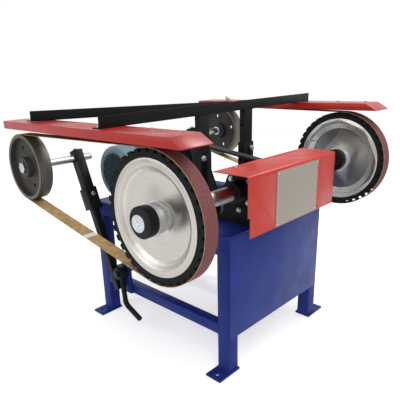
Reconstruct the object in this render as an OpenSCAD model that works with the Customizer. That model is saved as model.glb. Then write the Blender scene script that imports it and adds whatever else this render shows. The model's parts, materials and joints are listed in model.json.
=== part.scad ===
// Double-ended belt grinder: two serrated contact wheels on one spindle, a long abrasive belt on each
// wheel, a leaning tension arm with an idler behind it, a finned motor with V-belts, on a tube stand.
// X runs along the spindle, Y to the rear and Z up. The origin is on the floor below the middle.

/* [Stand] */
// Width of the stand over its legs, along the spindle
stand_w = 590; // [560:5:660]
// Depth of the stand over its legs
stand_d = 750; // [720:5:820]
// Height of the table's top face
table_h = 525; // [500:5:560]
// Thickness of the table plate
table_t = 8; // [6:1:12]
// Side of the square leg tube
leg_side = 50; // [45:1:60]
// Wall of the leg tube
leg_wall = 3; // [2:0.5:5]
// Length of a foot plate, along the spindle
foot_len = 112; // [100:2:124]
// Depth of a foot plate
foot_depth = 66; // [60:2:80]
// Thickness of a foot plate
foot_t = 8; // [6:1:12]
// Radius of the floor bolt hole in a foot plate
foot_hole_r = 7; // [5:0.5:9]
// Side of the stretcher tubes
stretcher_side = 40; // [30:1:46]
// Distance of the stretchers' lower face below the table's top
stretcher_drop = 377; // [350:2:400]
// Height of the rails under the table
rail_h = 50; // [40:2:60]
// Thickness of the front panel sheet
panel_t = 2; // [1:0.5:4]
// Height of the front panel's lower edge
panel_z = 140; // [110:5:180]
// Inset of the front panel from the legs' outer faces
panel_inset = 5; // [2:1:10]

/* [Spindle] */
// Height of the spindle's axis over the table
spindle_up = 125; // [123:1:132]
// Distance of the spindle's axis behind the stand's front face
spindle_back = 50; // [45:1:60]
// Radius of the spindle shaft
shaft_r = 26; // [24:0.5:27]
// Length of the spindle shaft
shaft_len = 1248; // [1246:1:1262]
// Depth of the centre hole in the shaft's ends
centre_hole_d = 8; // [4:1:12]
// Distance of the pedestals' outer faces from the middle
pedestal_out = 163; // [160:1:172]
// Thickness of a pedestal, along the spindle
pedestal_t = 56; // [50:1:58]
// Radius of the pedestal's round head
pedestal_r = 74; // [70:1:74]
// Reach of the pedestal's base behind the spindle
pedestal_rear = 111; // [100:1:115]
// Thickness of the pedestal's base flange
pedestal_foot = 22; // [16:1:30]
// Outer radius of a spindle bearing
bearing_r = 42; // [40:1:44]
// Width of a spindle bearing
bearing_w = 27; // [20:1:32]
// Radius of the bearing cap's flange
cap_r = 61; // [60:1:63]
// Thickness of the bearing cap's flange
cap_t = 12; // [8:1:15]
// Radius of the bearing cap's nose
nose_r = 40; // [36:1:42]
// Length of the bearing cap with its nose
nose_len = 57; // [50:1:64]
// Radius of the cap's bolt circle
cap_bolt_circle_r = 52; // [51:1:54]

/* [Contact wheels] */
// Outer radius of a contact wheel over its teeth
wheel_r = 200; // [195:1:205]
// Width of a contact wheel
wheel_w = 50; // [46:1:54]
// Length of the shaft beyond each wheel's middle plane
shaft_over = 78; // [76:1:90]
// Thickness of the rubber tyre
tyre_t = 26; // [20:1:32]
// Number of teeth round the tyre
tooth_count = 38; // [30:1:44]
// Width of the slot between two teeth
slot_w = 12; // [8:1:14]
// Depth of the slot between two teeth
slot_depth = 10; // [6:1:14]
// Slant of the slots across the tyre
slot_slant = 30; // [0:5:40]
// Thickness of the wheel's raised rim
rim_t = 20; // [14:1:26]
// Thickness of the wheel's web
web_t = 12; // [8:1:16]
// Length of the dished slope between the rim and the web
dish_len = 22; // [12:1:30]
// Radius of the hub sleeve
hub_r = 46; // [42:1:48]
// Length of the hub sleeve
hub_len = 78; // [70:2:82]
// Radius of the ring at the hub's ends
hub_ring_r = 50; // [49:1:54]
// Length of that ring
hub_ring_t = 7; // [4:1:9]
// Radius of a lock collar
collar_r = 47; // [42:1:50]
// Length of a lock collar
collar_len = 30; // [24:1:32]
// Bevel of a lock collar's edges
collar_bevel = 2; // [1:0.5:4]

/* [Abrasive belts] */
// Thickness of an abrasive belt
belt_t = 2; // [1.5:0.5:3]
// Width of an abrasive belt
belt_w = 50; // [44:1:54]
// Gap between a belt and the wheels inside it
belt_gap = 0.4; // [0.3:0.1:0.8]

/* [Tension arms] */
// Distance of the arms' middle planes from the middle
arm_x = 327; // [325:1:332]
// Distance of the arm pivots behind the stand's middle
pivot_y = 185; // [170:5:200]
// Distance of the arm pivots below the table's top
pivot_drop = 280; // [270:1:290]
// Lean of the left arm from upright
left_lean = 21.5; // [20:0.5:23]
// Lean of the right arm from upright
right_lean = 15; // [14:0.5:18]
// Distance of the arm's tube behind its pivot
arm_offset = 50; // [48:1:52]
// Length from the pivot to the idler's axle, along the arm
axle_up = 520; // [505:1:525]
// Length from the idler's axle to the arm's top end
arm_over = 34; // [28:1:40]
// Side of the upper arm tube
arm_side = 40; // [38:1:44]
// Side of the lower arm bar
bar_side = 30; // [26:1:32]
// Length of the lower arm bar below the pivot's level
bar_below = 68; // [60:2:80]
// Side of the socket that joins tube and bar
socket_side = 52; // [46:1:54]
// Length of that socket
socket_len = 92; // [70:2:110]
// Length of the lower bar inside the upper tube
bar_inside = 150; // [120:5:200]
// Distance from the idler's axle down to the socket's lower end
socket_down = 226; // [215:1:240]
// Radius of the pivot boss
boss_r = 27; // [24:1:28]
// Length of the pivot boss
boss_len = 40; // [36:1:41]
// Radius of the pivot bolt
pivot_r = 10; // [8:0.5:12]
// Radius of the handle rod
handle_r = 11; // [9:0.5:12]
// Angle between the handle and the arm
handle_splay = 15; // [10:1:18]
// Length of the handle's straight part, from the pivot to the bend
handle_drop = 124; // [110:2:130]
// Radius of the handle's bend
handle_bend_r = 34; // [28:1:40]
// Angle of the handle's bend
handle_bend = 60; // [45:1:70]
// Length of the handle's end after the bend
handle_end = 78; // [60:2:84]
// Radius of an idler axle
axle_r = 15; // [12:0.5:15]
// Distance of the axles' inner ends from the middle
axle_in = 266; // [264:1:275]

/* [Idler wheels] */
// Outer radius of an idler wheel
idler_r = 126.5; // [122:0.5:128]
// Width of an idler wheel
idler_w = 52; // [48:1:56]
// Thickness of the idler's rim
idler_rim_t = 13; // [9:1:18]
// Thickness of the idler's web
idler_web_t = 12; // [8:1:16]
// Radius of the idler's hub
idler_hub_r = 40; // [37:1:44]
// Length of the idler's hub
idler_hub_len = 58; // [54:1:64]
// Radius of the idler's bearing seats
idler_bearing_r = 31; // [28:1:33]
// Width of an idler bearing
idler_bearing_w = 16; // [12:1:20]
// Number of holes in the idler's web
idler_holes = 4; // [3:1:6]
// Radius of those holes
idler_hole_r = 8.5; // [6:0.5:12]

/* [Belt guards] */
// Height of the guards' top faces over the highest point of the belts
guard_over = 26.7595; // [24.7595:1:40.7595]
// Height of a guard's side walls
guard_h = 28; // [26:1:30]
// Width of a guard over its side walls
guard_w = 115; // [108:1:122]
// Thickness of the guard sheet
guard_t = 2; // [1:0.5:3]
// Reach of a guard's top in front of the stand's middle
guard_front = 443; // [430:1:450]
// Further reach of the sloped front end
guard_nose = 43; // [30:1:50]
// Reach of a guard behind the stand's middle
guard_rear = 472; // [460:2:500]
// Side of the crossbars' angle section
angle_side = 36; // [30:1:42]
// Thickness of the crossbars' angle section
angle_t = 3; // [2:0.5:4]
// Reach of the crossbars beyond the wheels' middle planes
bar_over = 39; // [30:1:54]
// Distance of the front crossbar's face in front of the stand's middle
front_bar_y = 131; // [120:1:140]
// Distance of the rear crossbar's face behind the stand's middle
rear_bar_y = 285; // [270:1:300]
// Drop of the rear crossbar from the left guard's edge to the right guard's
rear_bar_drop = 36; // [20:1:36]
// Distance of the posts' middles from the middle
post_x = 130; // [128:1:134]
// Width of a post, along the spindle
post_w = 50; // [44:1:50]
// Depth of a post
post_d = 25; // [20:1:30]
// Length of a post
post_len = 250; // [230:5:300]
// Wall of a post sleeve
sleeve_wall = 4; // [3:0.5:5]
// Height of a post sleeve over the table
sleeve_h = 236; // [210:2:250]
// Running gap between a post and its sleeve
post_gap = 0.3; // [0.2:0.1:0.5]

/* [Spindle cover] */
// Length of the spindle cover
cover_len = 532; // [520:2:560]
// Depth of the spindle cover
cover_d = 143; // [138:1:150]
// Distance of the cover's front face in front of the stand's front face
cover_out = 64; // [60:1:70]
// Height of the cover's top face over the spindle's axis
cover_over = 81; // [80:1:90]
// Height of the cover's lower edge over the table
cover_lift = 3; // [1:1:20]
// Thickness of the cover sheet
cover_t = 2; // [1:0.5:3]
// Outer radius of the cover's fold
cover_fold_r = 9; // [5:1:12]
// Width of the notch in the cover's left edge
notch_w = 12; // [8:1:20]
// Height of that notch over the table
notch_up = 73; // [60:1:95]
// Width of the bare plate on the cover
plate_w = 263; // [240:1:280]
// Height of the bare plate
plate_h = 190; // [170:1:192]
// Thickness of the bare plate
plate_t = 1; // [0.5:0.5:2]

/* [Motor and V-belts] */
// Distance of the motor's axis behind the stand's middle
motor_y = 262; // [255:1:268]
// Height of the motor's axis over the table
motor_up = 127; // [125:1:132]
// Radius of the motor's fins
motor_r = 110; // [104:1:112]
// Height of the motor's fins
fin_h = 11; // [8:1:14]
// Thickness of a fin
fin_t = 3.5; // [2.5:0.5:5]
// Number of fins round the motor
fin_count = 32; // [24:2:40]
// Distance of the fan cover's face from the middle
motor_left = 258; // [254:1:260]
// Length of the fan cover
fan_cover_len = 74; // [66:2:84]
// Radius of the fan cover
fan_cover_r = 112; // [108:1:114]
// Radius of the rounded edge of the fan cover
fan_cover_edge = 14; // [8:1:20]
// Radius of a vent hole in the fan cover
vent_r = 3.6; // [2.5:0.1:4.5]
// Spacing of the vent holes
vent_pitch = 13; // [12:0.5:16]
// Length of the finned motor body
motor_len = 214; // [200:2:224]
// Height of the motor's slide rails
rail_up = 27; // [20:1:30]
// Radius of the motor shaft
motor_shaft_r = 14; // [12:0.5:19]
// Outer radius of the motor pulley
motor_pulley_r = 118; // [110:1:119]
// Outer radius of the spindle pulley
spindle_pulley_r = 49; // [44:1:52]
// Distance of the pulleys' middle plane from the middle
pulley_x = 70; // [68:1:72]
// Width of a pulley
pulley_w = 44; // [42:1:46]
// Spacing of the two V-belts
vee_pitch = 19; // [18:0.5:20]
// Width of a V-belt over its back
vee_w = 16; // [13:0.5:16.5]
// Height of a V-belt
vee_h = 11; // [8:0.5:12]
// Width of a V-belt's inner face
vee_in_w = 9; // [7:0.5:10]

/* [Hidden] */
$fn = 72;

// Overrun of every cut past the face that it opens
over = 1;
// Gap of a piece that sits fixed in or on another
seat_gap = 0.05;
// Gap of a bore that turns on its shaft
run_gap = 0.08;
// Gap between two faces that pass each other
pass_gap = 0.4;

// Lap of a belt's straight run into its bend, and how much slimmer the run is all round
seam_lap = 0.4;
seam_inset = 0.05;

// Colours
stand_blue = "#2B3A8F";
panel_blue = "#5A6FB0";
guard_red = "#C8303A";
cover_red = "#E0504E";
black_paint = "#1E2024";
bright_steel = "#C9CDD1";
dark_steel = "#55524D";
aluminium_grey = "#CFCBC2";
rubber_black = "#202426";
grit_brown = "#9A6258";
motor_blue = "#7FA0B4";
zinc_grey = "#B9BDB8";

// Places that follow from the sizes above, measured from the stand's middle
spindle_h = table_h + spindle_up;
pivot_h = table_h - pivot_drop;
stretcher_z = table_h - stretcher_drop;
wheel_x = shaft_len / 2 - shaft_over;
bar_reach = wheel_x + bar_over;
stand_front = -stand_d / 2;
spindle_y = stand_front + spindle_back;
left_idler = [pivot_y + arm_offset * cos(left_lean) + axle_up * sin(left_lean),
    pivot_h - arm_offset * sin(left_lean) + axle_up * cos(left_lean)];
right_idler = [pivot_y + arm_offset * cos(right_lean) + axle_up * sin(right_lean),
    pivot_h - arm_offset * sin(right_lean) + axle_up * cos(right_lean)];
belt_inside = wheel_r + belt_gap;
idler_inside = idler_r + belt_gap;
reach_front = spindle_y - belt_inside - belt_t;
reach_rear = max(left_idler[0], right_idler[0]) + idler_inside + belt_t;
mid_y = (reach_front + reach_rear) / 2;
belt_top = max(spindle_h + belt_inside, left_idler[1] + idler_inside,
    right_idler[1] + idler_inside) + belt_t;
guard_top = belt_top + guard_over;
cover_top = spindle_h + cover_over;
cover_bottom = table_h + cover_lift;
notch_h = table_h + notch_up;

// Stand
table_under = table_h - table_t;
leg_mid_x = stand_w / 2 - leg_side / 2;
leg_mid_y = stand_d / 2 - leg_side / 2;
foot_in = leg_side + foot_t / 4;
foot_hole_x = stand_w / 2 + (foot_len - foot_in) * 0.58;

// Pedestals and spindle
pedestal_in = pedestal_out - pedestal_t;
pedestal_mid = pedestal_out - pedestal_t / 2;
pad_top = cover_top - cover_t;
pad_w = pedestal_t;
pad_d = pedestal_r * 0.8;
ear_out = 40;
ear_t = 14;
cover_screw_x = pedestal_out + ear_out * 0.72;
cover_screw_y = spindle_y + pedestal_r * 0.05;
bolt_r = 5;
bolt_head_r = 8.5;
bolt_head_t = 6;
cap_bolts = 4;

// Contact wheels
tyre_in_r = wheel_r - tyre_t;
rim_in_r = tyre_in_r - rim_t;
shaft_end_bevel = 2;

// Covers and guards
cover_front_y = stand_front - cover_out;
guard_under = guard_top - guard_h;
guard_in_x = wheel_x - guard_w / 2;
guard_out_x = wheel_x + guard_w / 2;
small_bolt_r = 3;
small_head_r = 5.5;
small_head_t = 4;

// Motor
motor_h = table_h + motor_up;
motor_core_r = motor_r - fin_h;
body_left = -motor_left + fan_cover_len;
body_right = body_left + motor_len;
foot_half_y = motor_r * 0.75;
motor_foot_t = 12;
rail_w = 40;
rail_len = 216;
rail_left_x = body_left + motor_len * 0.25;
rail_right_x = body_left + motor_len * 0.78;

// Pedestal and cap bolts
flange_bolt_y = spindle_y + pedestal_rear - 9;
face_bolt_y = spindle_y + 11;
face_bolt_z = table_h + 52;
face_bolt_len = 14;

// Posts and sleeves
post_mid_y = -front_bar_y + post_d / 2;
sleeve_w = post_w + 2 * (post_gap + sleeve_wall);
sleeve_d = post_d + 2 * (post_gap + sleeve_wall);
sleeve_web_t = 8;
sleeve_web_d = 66;
post_hole_r = 5;
post_hole_down = 60;
clamp_r = 6;
clamp_head_r = 10;
clamp_head_t = 8;
clamp_x = post_w * 0.3;
clamp_z = table_h + sleeve_h - 25;

// Bare plate and its rivets
plate_x = 8;
plate_drop = 106;
plate_z = cover_top - plate_drop;
rivet_in = 8;
rivet_r = 2;
rivet_head_r = 4;
rivet_head_t = 1.5;

// Motor
rail_top = table_h + rail_up;
rail_rib = 6;
rail_bolt_y = rail_len / 2 - 12;
foot_bolt_y = foot_half_y * 0.8;
foot_shoulder = 0.42;
motor_foot_w = 44;
shield_t = 14;
motor_bore_r = motor_core_r - 19;
rotor_r = motor_bore_r - 8;
rotor_inset = shield_t + 20;
fin_root = 3;
fin_lowest = -0.7;
fan_cover_t = 2;
vent_rings = 5;
fan_left = -motor_left + fan_cover_t + 10;
fan_w = 40;
fan_hub_r = 26;
fan_r = fan_cover_r - fan_cover_t - 14;
fan_t = 3;
fan_blades = 7;
box_x = body_left + motor_len * 0.42;
box_w = 104;
box_h = 92;
box_d = 40;
box_wall = 4;
box_stand = fin_h + 1;
box_y = motor_y + motor_core_r + box_stand;
gland_r = 14;
gland_len = 26;
gland_bore_r = 6.5;

// Arms and idlers
bracket_t = arm_x - boss_len / 2 - pass_gap - stand_w / 2;
bracket_r = 32;
pivot_head_r = 17;
pivot_head_t = 11;
slide_gap = 0.3;
bend_swell = 0.6;
arm_inner = bar_side + 2 * slide_gap;
arm_wall = (arm_side - arm_inner) / 2;
arm_cap_t = 6;
arm_top = axle_up + arm_over;
socket_low = axle_up - socket_down;
rear_bolt_z = axle_up + arm_over * 0.55;
boss_web_t = 22;
axle_nut_t = 8;
axle_shoulder_r = 21;
idler_in_r = idler_r - idler_rim_t;
bearing_ledge = 6;

// Guards and crossbars
guard_lip = 3;
nose_rise = norm([guard_nose, guard_h - guard_lip]) / guard_nose;
nose_slope = (guard_h - guard_lip) / guard_nose;
rear_tilt = atan(rear_bar_drop / (2 * guard_in_x));
rear_end_gap = angle_side * tan(rear_tilt) + pass_gap;
guard_tab_t = 2;
tab_w = 60;
tab_h = 24;
tab_foot = 20;

// Child stands with its axis along X, its own x along Y and its own y along Z
module along_x() {
    rotate([90, 0, 90])
        children();
}

// Moves from the stand's middle to the origin
module placed() {
    translate([0, -mid_y, 0])
        children();
}

// Round bar along X from x0 to x1
module bar_x(r, x0, x1, y, z) {
    translate([x0, y, z])
        rotate([0, 90, 0])
            cylinder(r = r, h = x1 - x0);
}

// Block between two corners
module block(low, high) {
    translate(low)
        cube(high - low);
}

// Hexagon head or nut on the XY plane
module hex_head(r, h) {
    cylinder(r = r, h = h, $fn = 6);
}

// Bolt along +Z whose head stands on the XY plane and whose shank hangs below it
module bolt(r, head_r, head_t, len) {
    hex_head(head_r, head_t);
    translate([0, 0, -len])
        cylinder(r = r, h = len);
}

// Closed belt round two circles in the XY plane. The first child is the section of its bends, drawn
// outwards from x = 0, and the second, slightly slimmer, is that of its straight runs
module belt_loop(p1, r1, p2, r2) {
    d = norm(p2 - p1);
    dir = atan2(p2[1] - p1[1], p2[0] - p1[0]);
    spread = acos((r1 - r2) / d);
    run = sqrt(d * d - (r1 - r2) * (r1 - r2));
    translate([p1[0], p1[1], 0]) {
        rotate([0, 0, dir + spread])
            rotate_extrude(angle = 360 - 2 * spread)
                translate([r1, 0])
                    children(0);
        rotate([0, 0, dir + spread])
            translate([0, seam_lap, 0])
                rotate([90, 0, 0])
                    linear_extrude(height = run + 2 * seam_lap)
                        translate([r1, 0])
                            children(1);
        rotate([0, 0, dir - spread])
            translate([0, run + seam_lap, 0])
                rotate([90, 0, 0])
                    linear_extrude(height = run + 2 * seam_lap)
                        translate([r1, 0])
                            children(1);
    }
    translate([p2[0], p2[1], 0])
        rotate([0, 0, dir - spread])
            rotate_extrude(angle = 2 * spread)
                translate([r2, 0])
                    children(0);
}

// Leg tube with its foot plate; sx and sy give the corner
module leg(sx, sy) {
    color(stand_blue)
    placed()
    mirror([sx < 0 ? 1 : 0, 0, 0])
    translate([0, sy * leg_mid_y, 0]) {
        difference() {
            block([leg_mid_x - leg_side / 2, -leg_side / 2, foot_t],
                [leg_mid_x + leg_side / 2, leg_side / 2, table_under]);
            block([leg_mid_x - leg_side / 2 + leg_wall, -leg_side / 2 + leg_wall, foot_t - over],
                [leg_mid_x + leg_side / 2 - leg_wall, leg_side / 2 - leg_wall, table_under + over]);
        }
        difference() {
            block([stand_w / 2 - foot_in, -foot_depth / 2, 0],
                [stand_w / 2 - foot_in + foot_len, foot_depth / 2, foot_t]);
            translate([foot_hole_x, 0, -over])
                cylinder(r = foot_hole_r, h = foot_t + 2 * over);
        }
    }
}

// Square tube along X or Y between two corners, open at its ends
module tube_x(low, high, wall) {
    difference() {
        block(low, high);
        block([low[0] - over, low[1] + wall, low[2] + wall],
            [high[0] + over, high[1] - wall, high[2] - wall]);
    }
}
module tube_y(low, high, wall) {
    difference() {
        block(low, high);
        block([low[0] + wall, low[1] - over, low[2] + wall],
            [high[0] - wall, high[1] + over, high[2] - wall]);
    }
}

module stretchers() {
    color(stand_blue)
    placed() {
        for (s = [-1, 1])
            mirror([s < 0 ? 1 : 0, 0, 0])
                tube_y([stand_w / 2 - stretcher_side, -stand_d / 2 + leg_side, stretcher_z],
                    [stand_w / 2, stand_d / 2 - leg_side, stretcher_z + stretcher_side], leg_wall);
        tube_x([-stand_w / 2 + leg_side, stand_d / 2 - stretcher_side, stretcher_z],
            [stand_w / 2 - leg_side, stand_d / 2, stretcher_z + stretcher_side], leg_wall);
    }
}

module table_rails() {
    color(stand_blue)
    placed() {
        for (s = [-1, 1]) {
            mirror([s < 0 ? 1 : 0, 0, 0])
                tube_y([stand_w / 2 - rail_h, -stand_d / 2 + leg_side, table_under - rail_h],
                    [stand_w / 2, stand_d / 2 - leg_side, table_under], leg_wall);
            mirror([0, s < 0 ? 1 : 0, 0])
                tube_x([-stand_w / 2 + leg_side, stand_d / 2 - rail_h, table_under - rail_h],
                    [stand_w / 2 - leg_side, stand_d / 2, table_under], leg_wall);
        }
    }
}

module table_top() {
    color(stand_blue)
    placed()
    difference() {
        block([-stand_w / 2, -stand_d / 2, table_under], [stand_w / 2, stand_d / 2, table_h]);
        both_sides()
            translate([pedestal_mid, flange_bolt_y, table_under - over])
                cylinder(r = bolt_r + seat_gap, h = table_t + 2 * over);
        for (x = [rail_left_x, rail_right_x], s = [-1, 1])
            translate([x, motor_y + s * rail_bolt_y, table_under - over])
                cylinder(r = bolt_r + seat_gap, h = table_t + 2 * over);
    }
}

module front_panel() {
    color(panel_blue)
    placed()
        block([-stand_w / 2 + panel_inset, stand_front - panel_t, panel_z],
            [stand_w / 2 - panel_inset, stand_front, table_under]);
}

// Side view of a pedestal casting about the spindle's axis, x to the rear and y up
module pedestal_outline() {
    base = table_h - spindle_h;
    difference() {
        union() {
            circle(r = pedestal_r);
            translate([-spindle_back, base])
                square([spindle_back + pedestal_rear, pedestal_foot]);
            polygon([[-spindle_back, base], [pedestal_rear * 0.85, base],
                [pedestal_r * 0.9, -pedestal_r * 0.3], [-spindle_back, -pedestal_r * 0.3]]);
            translate([-pad_d / 2, 0])
                square([pad_d, pad_top - spindle_h]);
        }
        circle(r = bearing_r + seat_gap);
    }
}

// Pedestal on the +X side
module pedestal() {
    difference() {
        union() {
            translate([pedestal_in, spindle_y, spindle_h])
                along_x()
                    linear_extrude(height = pedestal_t)
                        pedestal_outline();
            block([pedestal_out - over, spindle_y - pad_d / 2, pad_top - ear_t],
                [pedestal_out + ear_out, spindle_y + pad_d / 2, pad_top]);
        }
        translate([cover_screw_x, cover_screw_y, pad_top - ear_t - over])
            cylinder(r = small_bolt_r + seat_gap, h = ear_t + 2 * over);
        translate([pedestal_mid, flange_bolt_y, table_h - over])
            cylinder(r = bolt_r + seat_gap, h = pedestal_foot + 2 * over);
        bar_x(bolt_r + seat_gap, pedestal_out - face_bolt_len - over, pedestal_out + over,
            face_bolt_y, face_bolt_z);
        for (i = [0 : cap_bolts - 1])
            cap_place(i)
                bar_x(bolt_r + seat_gap, pedestal_out - face_bolt_len - over, pedestal_out + over, 0, 0);
    }
}
module pedestal_left() {
    color(black_paint)
    placed()
    mirror([1, 0, 0])
        pedestal();
}
module pedestal_right() {
    color(black_paint)
    placed()
        pedestal();
}

// Both sides of what is built on the +X side
module both_sides() {
    for (s = [0, 1])
        mirror([s, 0, 0])
            children();
}

// Bearing in each pedestal, against the cap
module spindle_bearings() {
    color(bright_steel)
    placed()
    both_sides()
        difference() {
            bar_x(bearing_r, pedestal_out - bearing_w, pedestal_out, spindle_y, spindle_h);
            bar_x(shaft_r + run_gap, pedestal_out - bearing_w - over, pedestal_out + over,
                spindle_y, spindle_h);
        }
}

module bearing_caps() {
    color(black_paint)
    placed()
    both_sides()
        difference() {
            union() {
                difference() {
                    bar_x(cap_r, pedestal_out, pedestal_out + cap_t, spindle_y, spindle_h);
                    block([pedestal_out - over, spindle_y - cap_r, pad_top - ear_t - pass_gap],
                        [pedestal_out + cap_t + over, spindle_y + cap_r, spindle_h + cap_r + over]);
                }
                bar_x(nose_r, pedestal_out, pedestal_out + nose_len, spindle_y, spindle_h);
            }
            bar_x(shaft_r + pass_gap, pedestal_out - over, pedestal_out + nose_len + over,
                spindle_y, spindle_h);
            for (i = [0 : cap_bolts - 1])
                cap_place(i)
                    bar_x(bolt_r + seat_gap, pedestal_out - over, pedestal_out + cap_t + over, 0, 0);
        }
}

module housing_bolts() {
    color(zinc_grey)
    placed()
    both_sides() {
        translate([pedestal_mid, flange_bolt_y, table_h + pedestal_foot])
            bolt(bolt_r, bolt_head_r, bolt_head_t, pedestal_foot + table_t);
        translate([pedestal_out, face_bolt_y, face_bolt_z])
            rotate([0, 90, 0])
                bolt(bolt_r, bolt_head_r, bolt_head_t, face_bolt_len);
        for (i = [0 : cap_bolts - 1])
            cap_place(i)
                translate([pedestal_out + cap_t, 0, 0])
                    rotate([0, 90, 0])
                        bolt(bolt_r, bolt_head_r, bolt_head_t, cap_t + face_bolt_len);
    }
}

// Sleeve of a post on the table, with the stiffening web at its front
module post_sleeves() {
    color(black_paint)
    placed()
    both_sides()
        difference() {
            union() {
                block([post_x - sleeve_w / 2, post_mid_y - sleeve_d / 2, table_h],
                    [post_x + sleeve_w / 2, post_mid_y + sleeve_d / 2, table_h + sleeve_h]);
                translate([post_x - sleeve_web_t / 2, post_mid_y - sleeve_d / 2 + over, table_h])
                    along_x()
                        linear_extrude(height = sleeve_web_t)
                            polygon([[0, 0], [-sleeve_web_d, 0], [-sleeve_web_d, sleeve_h * 0.3],
                                [0, sleeve_h * 0.95]]);
            }
            block([post_x - post_w / 2 - post_gap, post_mid_y - post_d / 2 - post_gap, table_h + table_t],
                [post_x + post_w / 2 + post_gap, post_mid_y + post_d / 2 + post_gap,
                    table_h + sleeve_h + over]);
            translate([post_x + clamp_x, post_mid_y, clamp_z])
                rotate([90, 0, 0])
                    cylinder(r = clamp_r + seat_gap, h = sleeve_d);
        }
}

module sleeve_clamp_bolts() {
    color(zinc_grey)
    placed()
    both_sides()
        translate([post_x + clamp_x, post_mid_y - sleeve_d / 2, clamp_z])
            rotate([90, 0, 0])
                bolt(clamp_r, clamp_head_r, clamp_head_t, sleeve_wall);
}

// Folded sheet over the pedestals: front face, fold and top face
module spindle_cover() {
    top_r = cover_fold_r;
    color(cover_red)
    placed()
    difference() {
        translate([-cover_len / 2 - notch_w, cover_front_y, 0])
            along_x()
                linear_extrude(height = cover_len + notch_w)
                    difference() {
                        union() {
                            translate([0, cover_bottom])
                                square([cover_t, cover_top - cover_bottom - top_r]);
                            translate([top_r, cover_top - cover_t])
                                square([cover_d - top_r, cover_t]);
                            translate([top_r, cover_top - top_r])
                                intersection() {
                                    difference() {
                                        circle(r = top_r);
                                        circle(r = top_r - cover_t);
                                    }
                                    translate([-top_r, 0])
                                        square([top_r, top_r]);
                                }
                        }
                    }
        block([-cover_len / 2 - notch_w - over, cover_front_y - over, cover_bottom - over],
            [-cover_len / 2, cover_front_y + cover_t + over, notch_h]);
        both_sides()
            translate([cover_screw_x, cover_screw_y, cover_top - cover_t - over])
                cylinder(r = small_bolt_r + seat_gap, h = cover_t + 2 * over);
        for (sx = [-1, 1], sz = [-1, 1])
            rivet_place(sx, sz)
                cylinder(r = rivet_r + seat_gap, h = 2 * cover_t, center = true);
    }
}

module cover_screws() {
    color(zinc_grey)
    placed()
    both_sides()
        translate([cover_screw_x, cover_screw_y, cover_top])
            bolt(small_bolt_r, small_head_r, small_head_t, cover_t + ear_t);
}

module cover_plate() {
    color(zinc_grey)
    placed()
    difference() {
        block([plate_x - plate_w / 2, cover_front_y - plate_t, plate_z - plate_h / 2],
            [plate_x + plate_w / 2, cover_front_y, plate_z + plate_h / 2]);
        for (sx = [-1, 1], sz = [-1, 1])
            rivet_place(sx, sz)
                cylinder(r = rivet_r + seat_gap, h = 2 * cover_t + 2 * plate_t, center = true);
    }
}

module plate_rivets() {
    color(bright_steel)
    placed()
    for (sx = [-1, 1], sz = [-1, 1])
        rivet_place(sx, sz)
            rotate([180, 0, 0]) {
                translate([0, 0, plate_t])
                    cylinder(r1 = rivet_head_r, r2 = rivet_head_r * 0.6, h = rivet_head_t);
                translate([0, 0, -cover_t])
                    cylinder(r = rivet_r, h = plate_t + cover_t);
            }
}

// Finned motor body: hollow core, end shields, fins and feet
module motor_body() {
    color(motor_blue)
    placed()
    difference() {
        union() {
            bar_x(motor_core_r, body_left, body_right, motor_y, motor_h);
            for (i = [0 : fin_count - 1])
                if (sin(i * 360 / fin_count) > fin_lowest)
                    translate([body_left + shield_t, motor_y, motor_h])
                        rotate([i * 360 / fin_count, 0, 0])
                            block([0, motor_core_r - fin_root, -fin_t / 2],
                                [motor_len - 2 * shield_t, motor_r, fin_t / 2]);
            for (x = [rail_left_x, rail_right_x])
                difference() {
                    block([x - motor_foot_w / 2, motor_y - foot_half_y, rail_top],
                        [x + motor_foot_w / 2, motor_y + foot_half_y, motor_h - motor_core_r * 0.6]);
                    for (s = [-1, 1])
                        translate([x, motor_y + s * foot_half_y, rail_top + motor_foot_t])
                            block([-motor_foot_w, -foot_half_y * foot_shoulder, 0],
                                [motor_foot_w, foot_half_y * foot_shoulder, motor_core_r]);
                }
            block([box_x - box_w / 2 + box_wall, motor_y, motor_h - box_h / 2 + box_wall],
                [box_x + box_w / 2 - box_wall, motor_y + motor_core_r + box_stand,
                    motor_h + box_h / 2 - box_wall]);
        }
        bar_x(motor_bore_r, body_left + shield_t, body_right - shield_t, motor_y, motor_h);
        bar_x(motor_shaft_r + run_gap, body_left - over, body_right + over, motor_y, motor_h);
        for (x = [rail_left_x, rail_right_x], s = [-1, 1])
            translate([x, motor_y + s * foot_bolt_y, rail_top - over])
                cylinder(r = bolt_r + seat_gap, h = motor_foot_t + 2 * over);
    }
}

// Hood over the fan, open towards the body, with rings of vent holes in its face
module fan_cover() {
    color(motor_blue)
    placed()
    translate([-motor_left, motor_y, motor_h])
        rotate([0, 90, 0])
            difference() {
                rotate_extrude()
                    difference() {
                        union() {
                            square([fan_cover_r - fan_cover_edge, fan_cover_len]);
                            translate([0, fan_cover_edge])
                                square([fan_cover_r, fan_cover_len - fan_cover_edge]);
                            translate([fan_cover_r - fan_cover_edge, fan_cover_edge])
                                circle(r = fan_cover_edge);
                        }
                        translate([0, fan_cover_t])
                            square([fan_cover_r - fan_cover_edge, fan_cover_len]);
                        translate([0, fan_cover_edge])
                            square([fan_cover_r - fan_cover_t, fan_cover_len]);
                        translate([fan_cover_r - fan_cover_edge, fan_cover_edge])
                            circle(r = fan_cover_edge - fan_cover_t);
                    }
                for (ring = [1 : vent_rings], i = [0 : 6 * ring - 1])
                    rotate([0, 0, i * 60 / ring])
                        translate([ring * vent_pitch, 0, -over])
                            cylinder(r = vent_r, h = fan_cover_t + 2 * over, $fn = 24);
            }
}

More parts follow.
